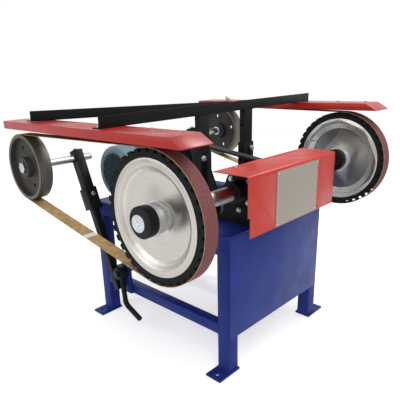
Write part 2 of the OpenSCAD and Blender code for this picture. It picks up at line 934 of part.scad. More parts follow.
module terminal_box() {
    color(motor_blue)
    placed()
    difference() {
        block([box_x - box_w / 2, box_y, motor_h - box_h / 2],
            [box_x + box_w / 2, box_y + box_d, motor_h + box_h / 2]);
        block([box_x - box_w / 2 + box_wall, box_y + box_wall, motor_h - box_h / 2 + box_wall],
            [box_x + box_w / 2 - box_wall, box_y + box_d + over, motor_h + box_h / 2 - box_wall]);
        translate([box_x, box_y + box_d / 2, motor_h - box_h / 2 - over])
            cylinder(r = gland_r * 0.75 + seat_gap, h = box_wall + 2 * over);
    }
}

module terminal_box_lid() {
    color(motor_blue)
    placed()
    block([box_x - box_w / 2, box_y + box_d, motor_h - box_h / 2],
        [box_x + box_w / 2, box_y + box_d + box_wall, motor_h + box_h / 2]);
}

// Gland in the box's underside, with the bore for the supply cable
module cable_gland() {
    color(rubber_black)
    placed()
    translate([box_x, box_y + box_d / 2, motor_h - box_h / 2])
        difference() {
            union() {
                cylinder(r = gland_r * 0.75, h = box_wall);
                translate([0, 0, -gland_len * 0.5])
                    hex_head(gland_r, gland_len * 0.5);
                translate([0, 0, -gland_len])
                    cylinder(r1 = gland_r * 0.7, r2 = gland_r * 0.8, h = gland_len * 0.5);
            }
            translate([0, 0, -gland_len - over])
                cylinder(r = gland_bore_r, h = gland_len + box_wall + 2 * over);
        }
}

module motor_rails() {
    color(black_paint)
    placed()
    for (x = [rail_left_x, rail_right_x])
        difference() {
            block([x - rail_w / 2, motor_y - rail_len / 2, table_h],
                [x + rail_w / 2, motor_y + rail_len / 2, rail_top]);
            block([x - rail_w / 2 + rail_rib, motor_y - rail_len / 2 - over, table_h + rail_rib],
                [x + rail_w / 2 - rail_rib, motor_y + rail_len / 2 + over, rail_top - rail_rib]);
            for (s = [-1, 1], d = [foot_bolt_y, rail_bolt_y])
                translate([x, motor_y + s * d, table_h - over])
                    cylinder(r = bolt_r + seat_gap, h = rail_up + 2 * over);
        }
}

module motor_bolts() {
    color(zinc_grey)
    placed()
    for (x = [rail_left_x, rail_right_x], s = [-1, 1]) {
        translate([x, motor_y + s * foot_bolt_y, rail_top + motor_foot_t])
            bolt(bolt_r, bolt_head_r, bolt_head_t, motor_foot_t + rail_rib);
        translate([x, motor_y + s * rail_bolt_y, rail_top])
            bolt(bolt_r, bolt_head_r, bolt_head_t, rail_up + table_t);
    }
}

// Section of a V-belt, drawn outwards from its inner face; grow widens it into the groove
module vee_section(grow) {
    polygon([[-grow, -vee_in_w / 2 - grow], [vee_h, -vee_w / 2 - grow],
        [vee_h + grow, -vee_w / 2 - grow], [vee_h + grow, vee_w / 2 + grow],
        [vee_h, vee_w / 2 + grow], [-grow, vee_in_w / 2 + grow]]);
}

// Section of a V-belt, drawn outwards from its inner face and slimmed all round by inset
module vee_belt_section(inset) {
    polygon([[inset, -vee_in_w / 2 + inset], [vee_h - inset, -vee_w / 2 + inset],
        [vee_h - inset, vee_w / 2 - inset], [inset, vee_in_w / 2 - inset]]);
}

// Two V-belts side by side, from the motor's pulley to the spindle's
module v_belts() {
    color(rubber_black)
    placed()
    for (s = [-0.5, 0.5])
        translate([pulley_x + s * vee_pitch, 0, 0])
            along_x()
                belt_loop([spindle_y, spindle_h], spindle_pulley_r - vee_h,
                    [motor_y, motor_h], motor_pulley_r - vee_h) {
                    vee_belt_section(0);
                    vee_belt_section(seam_inset);
                }
}

// Grooved pulley about X at the pulleys' middle plane, with a bore for its shaft
module pulley(r, bore_r, y, z) {
    translate([pulley_x, y, z])
        rotate([0, 90, 0])
            difference() {
                cylinder(r = r, h = pulley_w, center = true);
                cylinder(r = bore_r + seat_gap, h = pulley_w + 2 * over, center = true);
                for (s = [-0.5, 0.5])
                    translate([0, 0, s * vee_pitch])
                        rotate_extrude()
                            translate([r - vee_h, 0])
                                vee_section(belt_gap);
            }
}

// Section of an abrasive belt, drawn outwards from its back and slimmed all round by inset
module belt_section(inset) {
    translate([inset, -belt_w / 2 + inset])
        square([belt_t - 2 * inset, belt_w - 2 * inset]);
}

// Abrasive belt round a contact wheel and its idler, running on its back
module abrasive_belt(sx, idler) {
    color(grit_brown)
    placed()
    translate([sx * wheel_x, 0, 0])
        along_x()
            belt_loop([spindle_y, spindle_h], belt_inside, idler, idler_inside) {
                belt_section(0);
                belt_section(seam_inset);
            }
}

module pivot_brackets() {
    color(stand_blue)
    placed()
    both_sides()
        difference() {
            union() {
                block([stand_w / 2, pivot_y - bracket_r, stretcher_z],
                    [stand_w / 2 + bracket_t, pivot_y + bracket_r, pivot_h]);
                bar_x(bracket_r, stand_w / 2, stand_w / 2 + bracket_t, pivot_y, pivot_h);
            }
            bar_x(pivot_r + seat_gap, stand_w / 2 - over, stand_w / 2 + bracket_t + over,
                pivot_y, pivot_h);
        }
}

module pivot_bolts() {
    color(zinc_grey)
    placed()
    both_sides()
        translate([arm_x + boss_len / 2 + pass_gap, pivot_y, pivot_h])
            rotate([0, 90, 0])
                bolt(pivot_r, pivot_head_r, pivot_head_t,
                    arm_x + boss_len / 2 + pass_gap - stand_w / 2);
}

module spindle_shaft() {
    color(bright_steel)
    placed()
    difference() {
        union() {
            bar_x(shaft_r, -shaft_len / 2 + shaft_end_bevel, shaft_len / 2 - shaft_end_bevel,
                spindle_y, spindle_h);
            both_sides()
                translate([shaft_len / 2 - shaft_end_bevel, spindle_y, spindle_h])
                    rotate([0, 90, 0])
                        cylinder(r1 = shaft_r, r2 = shaft_r - shaft_end_bevel, h = shaft_end_bevel);
        }
        both_sides()
            translate([shaft_len / 2 - centre_hole_d, spindle_y, spindle_h])
                rotate([0, 90, 0])
                    cylinder(r1 = centre_hole_d * 0.25, r2 = centre_hole_d, h = centre_hole_d + 0.01);
    }
}

module spindle_pulley() {
    color(black_paint)
    placed()
        pulley(spindle_pulley_r, shaft_r, spindle_y, spindle_h);
}

// Turned aluminium wheel: rim, dished web and hub sleeve, from its half section
module contact_wheel(sx) {
    color(aluminium_grey)
    placed()
    translate([sx * wheel_x, spindle_y, spindle_h])
        rotate([0, 90, 0])
            rotate_extrude()
                polygon([[shaft_r + seat_gap, -hub_len / 2], [hub_ring_r, -hub_len / 2],
                    [hub_ring_r, -hub_len / 2 + hub_ring_t], [hub_r, -hub_len / 2 + hub_ring_t],
                    [hub_r, -web_t / 2], [rim_in_r - dish_len, -web_t / 2],
                    [rim_in_r, -wheel_w / 2], [tyre_in_r - seat_gap, -wheel_w / 2],
                    [tyre_in_r - seat_gap, wheel_w / 2], [rim_in_r, wheel_w / 2],
                    [rim_in_r - dish_len, web_t / 2], [hub_r, web_t / 2],
                    [hub_r, hub_len / 2 - hub_ring_t], [hub_ring_r, hub_len / 2 - hub_ring_t],
                    [hub_ring_r, hub_len / 2], [shaft_r + seat_gap, hub_len / 2]]);
}

// Rubber tyre with slanted slots all round; the two tyres slant the opposite ways
module serrated_tyre(sx) {
    color(rubber_black)
    placed()
    translate([sx * wheel_x, spindle_y, spindle_h])
        rotate([0, 90, 0])
            difference() {
                cylinder(r = wheel_r, h = wheel_w, center = true);
                cylinder(r = tyre_in_r, h = wheel_w + 2 * over, center = true);
                for (i = [0 : tooth_count - 1])
                    rotate([0, 0, i * 360 / tooth_count])
                        translate([wheel_r - slot_depth, 0, 0])
                            rotate([sx * slot_slant, 0, 0])
                                block([0, -slot_w / 2, -wheel_w], [2 * slot_depth, slot_w / 2, wheel_w]);
            }
}

// Round lock collars on the threaded shaft, on both sides of each wheel
module lock_collars() {
    color(black_paint)
    placed()
    both_sides()
        for (s = [-1, 1])
            translate([wheel_x + s * (hub_len + collar_len) / 2, spindle_y, spindle_h])
                rotate([0, 90, 0])
                    rotate_extrude()
                        polygon([[shaft_r + seat_gap, -collar_len / 2],
                            [collar_r - collar_bevel, -collar_len / 2],
                            [collar_r, -collar_len / 2 + collar_bevel],
                            [collar_r, collar_len / 2 - collar_bevel],
                            [collar_r - collar_bevel, collar_len / 2],
                            [shaft_r + seat_gap, collar_len / 2]]);
}

// Motor shaft with its rotor core
module motor_shaft() {
    color(bright_steel)
    placed() {
        bar_x(motor_shaft_r, fan_left, pulley_x + pulley_w / 2 + shaft_end_bevel, motor_y, motor_h);
        bar_x(rotor_r, body_left + rotor_inset, body_right - rotor_inset, motor_y, motor_h);
    }
}

module motor_pulley() {
    color(black_paint)
    placed()
        pulley(motor_pulley_r, motor_shaft_r, motor_y, motor_h);
}

module cooling_fan() {
    color(rubber_black)
    placed()
    translate([fan_left, motor_y, motor_h])
        rotate([0, 90, 0])
            difference() {
                union() {
                    cylinder(r = fan_hub_r, h = fan_w);
                    translate([0, 0, fan_w - 3 * fan_t])
                        cylinder(r = fan_r * 0.9, h = fan_t);
                    for (i = [0 : fan_blades - 1])
                        rotate([0, 0, i * 360 / fan_blades])
                            block([fan_hub_r * 0.75, -fan_t / 2, fan_t], [fan_r, fan_t / 2, fan_w - fan_t]);
                }
                translate([0, 0, -over])
                    cylinder(r = motor_shaft_r + seat_gap, h = fan_w + 2 * over);
            }
}

// Frame of an arm: its origin on the pivot, z up along the arm and y to the rear of it
module arm_frame(sx, lean) {
    placed()
    mirror([sx < 0 ? 1 : 0, 0, 0])
        translate([arm_x, pivot_y, pivot_h])
            rotate([-lean, 0, 0])
                children();
}

// Upper tube with the socket at its lower end and a closed top
module arm_tube(sx, lean) {
    color(black_paint)
    arm_frame(sx, lean)
    difference() {
        union() {
            block([-arm_side / 2, arm_offset - arm_side / 2, socket_low],
                [arm_side / 2, arm_offset + arm_side / 2, arm_top]);
            block([-socket_side / 2, arm_offset - socket_side / 2, socket_low],
                [socket_side / 2, arm_offset + socket_side / 2, socket_low + socket_len]);
        }
        block([-arm_inner / 2, arm_offset - arm_inner / 2, socket_low - over],
            [arm_inner / 2, arm_offset + arm_inner / 2, arm_top - arm_cap_t]);
        bar_x(axle_r + seat_gap, -arm_side, arm_side, arm_offset, axle_up);
        translate([0, arm_offset, arm_top - arm_cap_t - over])
            cylinder(r = clamp_r + seat_gap, h = arm_cap_t + 2 * over);
        translate([0, arm_offset + arm_inner / 2 - over, rear_bolt_z])
            rotate([-90, 0, 0])
                cylinder(r = clamp_r + seat_gap, h = arm_side);
        translate([0, arm_offset - arm_inner / 2 + over, socket_low + socket_len * 0.68])
            rotate([90, 0, 0])
                cylinder(r = clamp_r + seat_gap, h = arm_side);
    }
}

// Lower bar that slides in the upper tube, with the pivot boss and the bent handle
module arm_lever(sx, lean) {
    color(black_paint)
    arm_frame(sx, lean)
    difference() {
        union() {
            block([-bar_side / 2, arm_offset - bar_side / 2, -bar_below],
                [bar_side / 2, arm_offset + bar_side / 2, socket_low + bar_inside]);
            block([-boss_web_t / 2, 0, -boss_r * 0.8],
                [boss_web_t / 2, arm_offset, boss_r * 0.8]);
            bar_x(boss_r, -boss_len / 2, boss_len / 2, 0, 0);
            rotate([handle_splay, 0, 0]) {
                translate([0, 0, -handle_drop])
                    cylinder(r = handle_r, h = handle_drop);
                translate([0, -handle_bend_r, -handle_drop]) {
                    along_x()
                        rotate([0, 0, -handle_bend])
                            rotate_extrude(angle = handle_bend)
                                translate([handle_bend_r, 0])
                                    circle(r = handle_r + bend_swell);
                    rotate([-handle_bend, 0, 0])
                        translate([0, handle_bend_r, -handle_end]) {
                            cylinder(r = handle_r, h = handle_end);
                            translate([0, 0, -handle_r * 0.3])
                                cylinder(r1 = handle_r * 0.7, r2 = handle_r, h = handle_r * 0.3);
                        }
                }
            }
        }
        bar_x(pivot_r + run_gap, -boss_len, boss_len, 0, 0);
    }
}

module clamp_bolts(sx, lean) {
    color(zinc_grey)
    arm_frame(sx, lean) {
        translate([0, arm_offset, arm_top])
            bolt(clamp_r, clamp_head_r, clamp_head_t, arm_over - axle_r - seat_gap);
        translate([0, arm_offset + arm_side / 2, rear_bolt_z])
            rotate([-90, 0, 0])
                bolt(clamp_r, clamp_head_r, clamp_head_t, arm_wall);
        translate([0, arm_offset - socket_side / 2, socket_low + socket_len * 0.68])
            rotate([90, 0, 0])
                bolt(clamp_r, clamp_head_r, clamp_head_t,
                    (socket_side - bar_side) / 2 - seat_gap);
    }
}

// Axle through the arm's top, with a shoulder and an end nut beside the idler
module axle(sx, lean) {
    color(bright_steel)
    arm_frame(sx, lean)
    translate([-arm_x, arm_offset, axle_up]) {
        bar_x(axle_r, axle_in, wheel_x + idler_hub_len / 2 + pass_gap + axle_nut_t, 0, 0);
        bar_x(axle_shoulder_r, wheel_x - idler_hub_len / 2 - pass_gap - axle_nut_t,
            wheel_x - idler_hub_len / 2 - pass_gap, 0, 0);
        translate([wheel_x + idler_hub_len / 2 + pass_gap, 0, 0])
            rotate([0, 90, 0])
                hex_head(axle_shoulder_r, axle_nut_t);
    }
}

// Idler wheel from its half section, with holes through its web
module idler_wheel(sx, lean) {
    color(dark_steel)
    arm_frame(sx, lean)
    translate([wheel_x - arm_x, arm_offset, axle_up])
        rotate([0, 90, 0])
            difference() {
                rotate_extrude()
                    polygon([[idler_bearing_r, -idler_hub_len / 2], [idler_hub_r, -idler_hub_len / 2],
                        [idler_hub_r, -idler_web_t / 2], [idler_in_r, -idler_web_t / 2],
                        [idler_in_r, -idler_w / 2], [idler_r, -idler_w / 2],
                        [idler_r, idler_w / 2], [idler_in_r, idler_w / 2],
                        [idler_in_r, idler_web_t / 2], [idler_hub_r, idler_web_t / 2],
                        [idler_hub_r, idler_hub_len / 2], [idler_bearing_r, idler_hub_len / 2],
                        [idler_bearing_r, idler_hub_len / 2 - idler_bearing_w],
                        [idler_bearing_r - bearing_ledge, idler_hub_len / 2 - idler_bearing_w],
                        [idler_bearing_r - bearing_ledge, -idler_hub_len / 2 + idler_bearing_w],
                        [idler_bearing_r, -idler_hub_len / 2 + idler_bearing_w]]);
                for (i = [0 : idler_holes - 1])
                    rotate([0, 0, i * 360 / idler_holes])
                        translate([(idler_hub_r + idler_in_r) / 2, 0, 0])
                            cylinder(r = idler_hole_r, h = idler_w, center = true);
            }
}

module idler_bearings(sx, lean) {
    color(bright_steel)
    arm_frame(sx, lean)
    translate([-arm_x, arm_offset, axle_up])
        for (x = [wheel_x - idler_hub_len / 2, wheel_x + idler_hub_len / 2 - idler_bearing_w])
            difference() {
                bar_x(idler_bearing_r - seat_gap, x, x + idler_bearing_w, 0, 0);
                bar_x(axle_r + run_gap, x - over, x + idler_bearing_w + over, 0, 0);
            }
}

// Side view of a guard over its outer faces, x to the rear and y up
module guard_outline() {
    polygon([[-guard_front, guard_top], [guard_rear, guard_top], [guard_rear, guard_under],
        [-guard_front - guard_nose, guard_under], [-guard_front - guard_nose, guard_under + guard_lip]]);
}

// Inverted sheet channel over a belt, closed by the sloped nose at its front
module guard(sx) {
    color(guard_red)
    placed()
    difference() {
        translate([sx * wheel_x - guard_w / 2, 0, 0])
            along_x()
                linear_extrude(height = guard_w)
                    guard_outline();
        translate([sx * wheel_x - guard_w / 2 + guard_t, 0, 0])
            along_x()
                linear_extrude(height = guard_w - 2 * guard_t)
                    polygon([[-guard_front + guard_t * nose_slope / 2, guard_top - guard_t],
                        [guard_rear + over, guard_top - guard_t],
                        [guard_rear + over, guard_under - over],
                        [-guard_front - guard_nose + guard_t, guard_under - over],
                        [-guard_front - guard_nose + guard_t,
                            guard_under + guard_lip - guard_t * nose_rise + guard_t * nose_slope]]);
        for (p = guard_screw_places(sx))
            translate([p[0], p[1], guard_top - guard_t - over])
                cylinder(r = small_bolt_r + seat_gap, h = guard_t + 2 * over);
    }
}

// Angle section along X from x0 to x1; its upright face stands at y = 0 and its foot lies at z = 0
module angle_bar(x0, x1) {
    block([x0, 0, 0], [x1, angle_t, angle_side]);
    block([x0, 0, 0], [x1, angle_side, angle_t]);
}

module front_crossbar() {
    color(black_paint)
    placed()
    difference() {
        translate([0, -front_bar_y, guard_top])
            angle_bar(-bar_reach, bar_reach);
        for (sx = [-1, 1], p = front_screw_places(sx))
            translate([p[0], p[1], guard_top - over])
                cylinder(r = small_bolt_r + seat_gap, h = angle_t + 2 * over);
    }
}

// Rear crossbar: its left end lies on the left guard, its right end meets the right guard's wall
module rear_crossbar() {
    color(black_paint)
    placed()
    translate([-guard_in_x, rear_bar_y, guard_top])
        rotate([0, rear_tilt, 0])
            difference() {
                angle_bar(guard_in_x - bar_reach, 2 * guard_in_x / cos(rear_tilt) - rear_end_gap);
                translate([-guard_w / 2, angle_side * 0.55, -over])
                    cylinder(r = small_bolt_r + seat_gap, h = angle_t + 2 * over);
            }
}

module guard_posts() {
    color(black_paint)
    placed()
    both_sides()
        difference() {
            block([post_x - post_w / 2, post_mid_y - post_d / 2, guard_top - post_len],
                [post_x + post_w / 2, post_mid_y + post_d / 2, guard_top]);
            bar_x(post_hole_r, post_x - post_w, post_x + post_w, post_mid_y, guard_top - post_hole_down);
        }
}

module guard_screws() {
    color(zinc_grey)
    placed() {
        for (sx = [-1, 1]) {
            for (p = front_screw_places(sx))
                translate([p[0], p[1], guard_top + angle_t])
                    bolt(small_bolt_r, small_head_r, small_head_t, angle_t + guard_t);
            for (p = edge_screw_places(sx))
                translate([p[0], p[1], guard_top])
                    bolt(small_bolt_r, small_head_r, small_head_t, guard_t);
        }
        for (p = tab_screw_places())
            translate([p[0], p[1], guard_top + guard_tab_t])
                bolt(small_bolt_r, small_head_r, small_head_t, guard_tab_t + guard_t);
        translate([-guard_in_x, rear_bar_y, guard_top])
            rotate([0, rear_tilt, 0])
                translate([-guard_w / 2, angle_side * 0.55, angle_t])
                    bolt(small_bolt_r, small_head_r, small_head_t, angle_t);
    }
}

// Small triangular plate on the right guard, with its foot screwed to the guard's top
module guard_tab() {
    color(zinc_grey)
    placed()
    difference() {
        translate([guard_in_x + guard_tab_t, rear_bar_y, guard_top]) {
            block([0, 0, 0], [tab_w, tab_foot, guard_tab_t]);
            rotate([90, 0, 0])
                translate([0, 0, -guard_tab_t])
                    linear_extrude(height = guard_tab_t)
                        polygon([[0, 0], [tab_w, 0], [tab_w * 0.1, tab_h], [0, tab_h]]);
        }
        for (p = tab_screw_places())
            translate([p[0], p[1], guard_top - over])
                cylinder(r = small_bolt_r + seat_gap, h = guard_tab_t + 2 * over);
    }
}

// Screws in a guard's top: under the front crossbar, along its far edge and under the tab
function front_screw_places(sx) = [for (s = [-0.25, 0.25])
    [sx * wheel_x + s * guard_w, -front_bar_y + angle_side * 0.6]];
function edge_screw_places(sx) = [for (y = [-guard_front * 0.62, -guard_front * 0.9])
    [sx * wheel_x + guard_w * 0.36, y]];
function tab_screw_places() = [for (s = [0.25, 0.75])
    [guard_in_x + guard_tab_t + tab_w * s, rear_bar_y + tab_foot * 0.6]];
function guard_screw_places(sx) = concat(front_screw_places(sx), edge_screw_places(sx),
    sx > 0 ? tab_screw_places() : []);

// Place of a bolt of the bearing cap, and of a rivet of the bare plate
module cap_place(i) {
    translate([0, spindle_y + cap_bolt_circle_r * cos(45 + i * 360 / cap_bolts),
        spindle_h + cap_bolt_circle_r * sin(45 + i * 360 / cap_bolts)])
        children();
}
module rivet_place(sx, sz) {
    translate([plate_x + sx * (plate_w / 2 - rivet_in), cover_front_y,
        plate_z + sz * (plate_h / 2 - rivet_in)])
        rotate([-90, 0, 0])
            children();
}

leg(-1, -1);  // leg_front_left
leg(1, -1);  // leg_front_right
leg(-1, 1);  // leg_rear_left
leg(1, 1);  // leg_rear_right
stretchers();
table_rails();
table_top();
front_panel();
pedestal_left();
pedestal_right();
bearing_caps();
spindle_bearings();
housing_bolts();
post_sleeves();
sleeve_clamp_bolts();
spindle_cover();
cover_screws();
cover_plate();
plate_rivets();
motor_body();
fan_cover();
terminal_box();
terminal_box_lid();
cable_gland();
motor_rails();
motor_bolts();
v_belts();
abrasive_belt(-1, left_idler);  // left_abrasive_belt
abrasive_belt(1, right_idler);  // right_abrasive_belt
pivot_brackets();
pivot_bolts();
spindle_shaft();
spindle_pulley();
contact_wheel(-1);  // contact_wheel_left
contact_wheel(1);  // contact_wheel_right
serrated_tyre(-1);  // serrated_tyre_left
serrated_tyre(1);  // serrated_tyre_right
lock_collars();
motor_shaft();
motor_pulley();
cooling_fan();
arm_tube(-1, left_lean);  // left_arm_tube
arm_lever(-1, left_lean);  // left_arm_lever
clamp_bolts(-1, left_lean);  // left_clamp_bolts
arm_tube(1, right_lean);  // right_arm_tube
arm_lever(1, right_lean);  // right_arm_lever
clamp_bolts(1, right_lean);  // right_clamp_bolts
axle(-1, left_lean);  // left_axle
axle(1, right_lean);  // right_axle
idler_wheel(-1, left_lean);  // left_idler_wheel
idler_bearings(-1, left_lean);  // left_idler_bearings
idler_wheel(1, right_lean);  // right_idler_wheel
idler_bearings(1, right_lean);  // right_idler_bearings
guard(-1);  // left_guard
guard(1);  // right_guard
front_crossbar();
rear_crossbar();
guard_posts();
guard_screws();
guard_tab();
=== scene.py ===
# %% [markdown]
# # A double-ended belt grinder
# Two serrated contact wheels share one spindle. Each drives a long abrasive belt round an idler
# on a leaning tension arm. The construction model gives the shapes. This lesson dresses them:
# rounded edges, ribs, screws, welds, cloth belts and finishes worked out from the real surfaces.

# %% Load the frame and keep its box
import json
import math
import bpy
import bmesh
from mathutils import Matrix, Vector


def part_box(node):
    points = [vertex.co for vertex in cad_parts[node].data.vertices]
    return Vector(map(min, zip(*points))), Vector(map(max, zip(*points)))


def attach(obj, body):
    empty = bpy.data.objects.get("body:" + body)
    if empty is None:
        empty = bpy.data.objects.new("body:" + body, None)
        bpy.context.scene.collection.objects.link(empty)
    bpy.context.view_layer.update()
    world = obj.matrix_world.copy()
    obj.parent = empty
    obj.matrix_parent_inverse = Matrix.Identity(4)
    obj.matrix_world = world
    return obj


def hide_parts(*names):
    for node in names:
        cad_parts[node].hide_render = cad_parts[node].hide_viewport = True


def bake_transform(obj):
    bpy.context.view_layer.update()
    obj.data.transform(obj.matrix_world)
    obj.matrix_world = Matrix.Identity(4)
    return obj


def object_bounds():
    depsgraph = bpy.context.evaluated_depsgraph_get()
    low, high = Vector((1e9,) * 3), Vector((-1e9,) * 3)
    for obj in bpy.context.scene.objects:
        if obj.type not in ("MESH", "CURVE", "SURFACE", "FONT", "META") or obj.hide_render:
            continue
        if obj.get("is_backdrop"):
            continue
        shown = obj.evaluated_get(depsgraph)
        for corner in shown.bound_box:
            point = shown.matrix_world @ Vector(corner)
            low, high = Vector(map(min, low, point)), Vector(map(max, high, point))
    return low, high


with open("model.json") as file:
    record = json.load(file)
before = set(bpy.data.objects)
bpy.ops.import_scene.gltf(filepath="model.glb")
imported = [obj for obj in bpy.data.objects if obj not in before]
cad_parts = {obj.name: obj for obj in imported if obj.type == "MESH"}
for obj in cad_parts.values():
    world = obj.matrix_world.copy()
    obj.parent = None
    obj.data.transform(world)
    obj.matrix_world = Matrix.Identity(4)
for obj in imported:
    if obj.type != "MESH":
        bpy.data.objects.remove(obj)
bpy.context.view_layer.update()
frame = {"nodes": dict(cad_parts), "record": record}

# %% [markdown]
# The record says which body each piece rides on, which slot its finish comes from and where each
# joint's axis lies. All three are read here, so a later cell only has to name a node or a side.

# %% Bodies, slots and joints by name
RECORD = frame["record"]
BODY_OF = {node: body for body, nodes in RECORD["behaviour"]["bodies"].items() for node in nodes}
SLOT_OF = {s["node"]: s["material_slot"] for s in RECORD["subparts"]}
JOINT = {j["name"]: j for j in RECORD["behaviour"]["joints"]}
MM = 0.001
spindle_at = Vector(JOINT["spindle_spin"]["pos_m"])
motor_at = Vector(JOINT["motor_spin"]["pos_m"])
SIDES = {"left": -1, "right": 1}
idler_at = {s: Vector(JOINT[s + "_idler_spin"]["pos_m"]) for s in SIDES}


def corners(node):
    """Lowest and highest corner of a solid's box."""
    return tuple(Vector(v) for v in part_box(node))


def middle(node):
    """Middle of a solid's box."""
    low, high = corners(node)
    return (low + high) / 2


def size(node):
    """Lengths of a solid's box along X, Y and Z."""
    low, high = corners(node)
    return high - low


# %% [markdown]
# Colours are written as sRGB hex, as a paint chart gives them, and the shader wants linear light.
# One function turns one into the other. A second adds any node with its settings and links, and
# the rest are the looks that several finishes share: patches of tone, of gloss, and fine relief.

# %% Colour and node helpers
def linear(hex_code):
    """Linear RGBA of an sRGB hex colour."""
    parts = [int(hex_code[i:i + 2], 16) / 255 for i in (1, 3, 5)]
    return [p / 12.92 if p <= 0.04045 else ((p + 0.055) / 1.055) ** 2.4 for p in parts] + [1.0]


def add(tree, kind, inputs=None, **settings):
    """Adds one node. inputs maps a socket's name or number to a value or to another socket."""
    made = tree.nodes.new(kind)
    for key, value in settings.items():
        setattr(made, key, value)
    for key, value in (inputs or {}).items():
        socket = made.inputs[key]
        if isinstance(value, bpy.types.NodeSocket):
            tree.links.new(value, socket)
        else:
            socket.default_value = value
    return made


def material(name, base, roughness, metallic=0.0, **sockets):
    """A plain material, ready for its pattern. Returns the material, its tree and its shader."""
    made = bpy.data.materials.new(name)
    made.use_nodes = True
    made.diffuse_color = linear(base)
    tree = made.node_tree
    shader = tree.nodes["Principled BSDF"]
    shader.inputs["Base Color"].default_value = linear(base)
    shader.inputs["Roughness"].default_value = roughness
    shader.inputs["Metallic"].default_value = metallic
    for key, value in sockets.items():
        shader.inputs[key.replace("_", " ")].default_value = value
    return made, tree, shader


def place_of(tree):
    """The piece's own coordinates, in metres."""
    return add(tree, "ShaderNodeTexCoord").outputs["Object"]


def two_tone(tree, shader, pattern, dark, light, reach):
    """Base colour from dark to light, where a pattern runs that far below and above a half."""
    ramp = add(tree, "ShaderNodeValToRGB", {"Fac": pattern})
    low, high = ramp.color_ramp.elements
    low.position, high.position = 0.5 - reach, 0.5 + reach
    low.color, high.color = linear(dark), linear(light)
    tree.links.new(ramp.outputs["Color"], shader.inputs["Base Color"])


def mottle(tree, shader, dark, light, metres, reach, detail=4.0):
    """Uneven colour between two hex values, in patches of that size."""
    noise = add(tree, "ShaderNodeTexNoise", {"Vector": place_of(tree), "Scale": 1 / metres,
                                             "Detail": detail, "Roughness": 0.55})
    two_tone(tree, shader, noise.outputs["Fac"], dark, light, reach)


def rough_patches(tree, shader, low, high, metres):
    """Roughness that wanders between two values in patches of that size."""
    noise = add(tree, "ShaderNodeTexNoise",
                {"Vector": place_of(tree), "Scale": 1 / metres, "Detail": 3.0})
    spread = add(tree, "ShaderNodeMapRange",
                 {"Value": noise.outputs["Fac"], "From Min": 0.3, "From Max": 0.7,
                  "To Min": low, "To Max": high})
    tree.links.new(spread.outputs["Result"], shader.inputs["Roughness"])


def relief(tree, shader, height, depth):
    """Relief of that depth in metres, from a pattern's height."""
    bump = add(tree, "ShaderNodeBump", {"Height": height, "Distance": depth, "Strength": 1.0})
    tree.links.new(bump.outputs["Normal"], shader.inputs["Normal"])


def bumps(tree, shader, metres, depth):
    """Fine relief: noise of that grain size and depth, both in metres."""
    noise = add(tree, "ShaderNodeTexNoise",
                {"Vector": place_of(tree), "Scale": 1 / metres, "Detail": 2.0})
    relief(tree, shader, noise.outputs["Fac"], depth)


print("half grey is", round(linear("#808080")[0], 3), "in linear light")

# %% [markdown]
# ## Sprayed enamel
# The stand, guards and cover are welded or folded mild steel, sprayed with one coat of machine
# enamel. It gives a smooth film with slight orange peel, about 4 mm from bump to bump, and a
# soft highlight. A thin film and handling make tone and gloss drift a little over a hand's width.
# A low specular level keeps the deep colours from greying under the white tent.

# %% Enamels of stand, guards, cover, arms and motor
PEEL = 4 * MM
PEEL_DEPTH = 0.02 * MM
TONE_PATCH = 90 * MM
GLOSS_PATCH = 60 * MM
CLEAN, DUSTY = 0.85, 1.2  # roughness of a clean and of a dusty patch, as shares of the film's own


def enamel(name, dark, light, roughness, shine=0.3):
    """Sprayed enamel between two tones, with that roughness and specular level."""
    made, tree, shader = material(name, light, roughness, Specular_IOR_Level=shine)
    mottle(tree, shader, dark, light, TONE_PATCH, 0.3)
    rough_patches(tree, shader, roughness * CLEAN, roughness * DUSTY, GLOSS_PATCH)
    bumps(tree, shader, PEEL, PEEL_DEPTH)
    return made


MAT = {
    "stand_paint": enamel("Blue sprayed enamel on steel tube", "#14236E", "#1F3386", 0.4, 0.18),
    "panel_paint": enamel("Blue sprayed enamel on sheet", "#1C2F7C", "#273C8C", 0.4, 0.16),
    "guard_paint": enamel("Red sprayed enamel on folded sheet", "#9E1F1A", "#B42B25", 0.32),
    "cover_paint": enamel("Light red sprayed enamel on folded sheet", "#BE2D25", "#CE3A30", 0.36),
    "black_paint": enamel("Black sprayed enamel on steel and cast iron", "#0C0D0F", "#141618",
                          0.45, 0.14),
    "motor_paint": enamel("Grey blue motor enamel on ribbed casting", "#66808C", "#8AA2AC", 0.5),
    # The fan hood's punched face takes a darker copy of the motor enamel: painted shade.
    "fan_face_paint": enamel("Grey motor enamel darkened as painted shade", "#39444A", "#4C595F", 0.65, 0.1),
}
print(len(MAT), "enamels")

# %% [markdown]
# ## Turned metal
# The spindle, axles and wheels come off a lathe. The tool leaves rings about the axis, so light
# stretches across them into the bright fans that a turned disc shows. The shader does that when
# its tangent runs along the rings: the X axis crossed with the way out from the axis. Real rings
# are finer than a pixel, so the wheel's are drawn about 1.5 mm apart. Both patterns need the
# distance from the axis, which Object coordinates give. The black and the plated bolts, the cast
# faces and the bare plate are small or dull, so one even tone serves each of them.

# %% Rings from the lathe
STRETCH = 0.85


